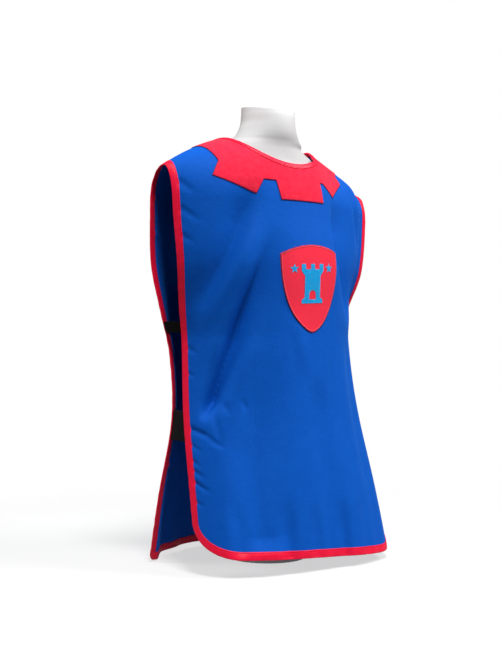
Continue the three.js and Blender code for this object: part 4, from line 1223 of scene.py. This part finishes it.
def make_half(panel):
    """A panel with its tapes, collar and stitching."""
    name = panel.name
    cloth = dress(make_panel(panel), "blue_cloth", BLUE, f"{name}_panel")
    outer = outer_path(panel)
    neck = neck_path(panel)
    tape = folded_tape(f"{name}_edge_tape", panel, outer, BINDING_WIDTH, TAPE_NEAR, -TAPE_NEAR)
    dress(tape, "red_tape", TAPE_RED, f"{name}_binding")
    collar = dress(make_collar(panel), "red_felt", FELT_RED, f"collar_{name}")
    neck_tape = folded_tape(f"{name}_neck_tape", panel, neck, NECK_BINDING_WIDTH, COLLAR_NEAR, -TAPE_NEAR)
    dress(neck_tape, "red_tape", TAPE_RED, f"neck_binding_{name}")
    trims = [tape, neck_tape]
    tape_face = TAPE_NEAR + TAPE + STITCH_LIFT
    rows = [
        ("edge_stitches_outside", outer, BINDING_WIDTH, tape_face),
        ("edge_stitches_inside", outer, BINDING_WIDTH, -tape_face),
        ("neck_stitches", neck, NECK_BINDING_WIDTH, COLLAR_NEAR + TAPE + STITCH_LIFT),
    ]
    for label, path, width, off in rows:
        row = seam_stitches(f"{name}_{label}", panel, path, width - STITCH_INSET, off)
        trims.append(dress(row, "red_tape", TAPE_THREAD))
    felt_face = CLOTH / 2 + EASE + 0.75 * FELT  # near the collar's pressed edge
    edge = overcast(f"{name}_collar_stitches", panel, collar_outline(panel), felt_face, 3)
    dress(edge, "red_felt", EDGE_THREAD_AND_SHADE)
    return cloth, collar, edge, trims


front_cloth, front_collar, front_edge, front_trims = make_half(front)
back_cloth, back_collar, back_edge, back_trims = make_half(back)
shield = dress(make_shield(), "red_felt", PATCH_RED, "shield_patch")
border = dress(make_border(), "red_felt", BORDER_THREAD_HIGHLIGHT)
rim = dress(overcast("shield_rim", front, shield_outline(), PATCH_FACE, 1), "red_felt", EDGE_THREAD_AND_SHADE)
tower = filling("emblem_tower_threads", in_tower, 0, 22, TOWER_FOOT, TOWER_FOOT + 60)
dress(tower, "emblem_felt", CYAN_THREAD, "emblem_tower")
for label, side in (("right", -1), ("left", 1)):
    low, high = STAR_HEIGHT - 9, STAR_HEIGHT + 9
    star = filling(f"emblem_star_{label}_threads", in_star, side * STAR_ACROSS, 9, low, high)
    dress(star, "emblem_felt", CYAN_THREAD, f"emblem_star_{label}")

for label, side in (("right", -1), ("left", 1)):
    for level, middle, width in ELASTICS:
        band = make_elastic(f"elastic_{label}_{level}", side, middle, width)
        dress(band, "black_elastic", ELASTIC_BLACK, f"strap_{label}_{level}")

dress(make_torso(), "form_shell", SHELL, "form_torso")
post = [(POST_RADIUS, BASE_HEIGHT + POST_GAP), (POST_RADIUS, POST_TOP)]
dress(turned("form_stand_post", post), "form_stand", PAINT, "form_post")
around = np.linspace(0, np.pi / 2, 6)
edge_radius = BASE_RADIUS - BASE_EDGE + BASE_EDGE * np.cos(around)
edge_height = BASE_HEIGHT - BASE_EDGE + BASE_EDGE * np.sin(around)
base = [(BASE_RADIUS, 0), *zip(edge_radius, edge_height)]
dress(turned("form_stand_base", base), "form_stand", PAINT, "form_base")


# ---- what the cloth was cut to ----
def cut_of(panel):
    """Width, length and area of a panel's cut. The area is the integral over s of its top less its foot."""
    s = np.linspace(-PANEL_HALF, PANEL_HALF, 800)
    top = np.where(np.abs(s - NECK_OFFSET) < NECK_HALF, panel.neck(s), panel.seam(s))
    length = panel.seam(s).max() - panel.low(s).min()
    return 2 * PANEL_HALF * MM, length * MM, (top - panel.low(s)).mean() * 2 * PANEL_HALF * MM**2


for panel, cloth, collar, trims in (
    (front, front_cloth, front_collar, [*front_trims, front_edge]),
    (back, back_cloth, back_collar, [*back_trims, back_edge]),
):
    width, length, area = cut_of(panel)
    outline = np.concatenate([collar_outline(panel), neck_path(panel)])

# ---- floor and light ----
FLOOR_FADE = (0.45, 1.05)  # radii between which the floor gives way to the white background
FLOOR_STRENGTH = 0.4  # how solid it is in its middle
FLOOR_SIDES = 96
FLOOR_DROP = 0.0002  # below the surface that the form stands on
LIGHT_AIM = 0.4  # height that the lights face
# azimuth, elevation, distance, size and power of each light
LIGHTS = {"key": (-22, 62, 2.3, 0.6, 54), "right": (50, 40, 2.6, 0.9, 45), "left": (-124, 48, 2.6, 0.9, 20)}
AMBIENT = 0.17


def make_floor():
    """A pale disc that turns clear towards its rim, so that it meets the background with no edge."""
    radius = np.concatenate([[0.01], np.linspace(0.2, FLOOR_FADE[1], 40)])
    angle = np.arange(FLOOR_SIDES) / FLOOR_SIDES * 2 * np.pi
    ring = np.stack([np.cos(angle), np.sin(angle), 0 * angle], -1)
    mesh = bpy.data.meshes.new("floor")
    vertices = (radius[:, None, None] * ring - [0, 0, FLOOR_DROP]).reshape(-1, 3)
    faces = grid_faces(len(radius), FLOOR_SIDES, closed=True)[:, ::-1].tolist()
    mesh.from_pydata(vertices, [], faces + [list(range(FLOOR_SIDES))])
    floor = new_object("floor", mesh)
    material, tree, shader = new_material("pale floor", 0.8, specular=0.2)
    shader.inputs["Base Color"].default_value = (0.86, 0.86, 0.865, 1)
    place = node(tree, "ShaderNodeTexCoord").outputs["Object"]
    far = node(tree, "ShaderNodeVectorMath", {0: place}, operation="LENGTH").outputs["Value"]
    near, rim = FLOOR_FADE
    clear = {0: far, "From Min": near, "From Max": rim, "To Min": FLOOR_STRENGTH, "To Max": 0.0}
    fade = node(tree, "ShaderNodeMapRange", clear, interpolation_type="SMOOTHSTEP")
    tree.links.new(fade.outputs[0], shader.inputs["Alpha"])
    mesh.materials.append(material)


def area_light(name, azimuth, elevation, distance, size, power):
    """A square soft light that faces the tabard's middle. Azimuth 0 is in front of it and 90 at its left."""
    data = bpy.data.lights.new(name, "AREA")
    data.size = size
    data.energy = power
    light = new_object(name, data)
    a, e = math.radians(azimuth), math.radians(elevation)
    direction = (math.sin(a) * math.cos(e), -math.cos(a) * math.cos(e), math.sin(e))
    light.location = [distance * direction[0], distance * direction[1], LIGHT_AIM + distance * direction[2]]
    light.rotation_euler = (math.pi / 2 - e, 0, a)


make_floor()
for name, numbers in LIGHTS.items():
    area_light(name, *numbers)

world = bpy.data.worlds.new("studio")
bpy.context.scene.world = world
world.use_nodes = True
sky = world.node_tree
ambient = sky.nodes["Background"]
ambient.inputs["Color"].default_value = (1, 1, 1, 1)
ambient.inputs["Strength"].default_value = AMBIENT
white = node(sky, "ShaderNodeBackground", {"Color": (1, 1, 1, 1), "Strength": 1.0})
sight = node(sky, "ShaderNodeLightPath").outputs["Is Camera Ray"]
choice = node(sky, "ShaderNodeMixShader", {0: sight, 1: ambient.outputs[0], 2: white.outputs[0]})
sky.links.new(choice.outputs[0], sky.nodes["World Output"].inputs[0])
bpy.context.scene.view_settings.view_transform = "Standard"
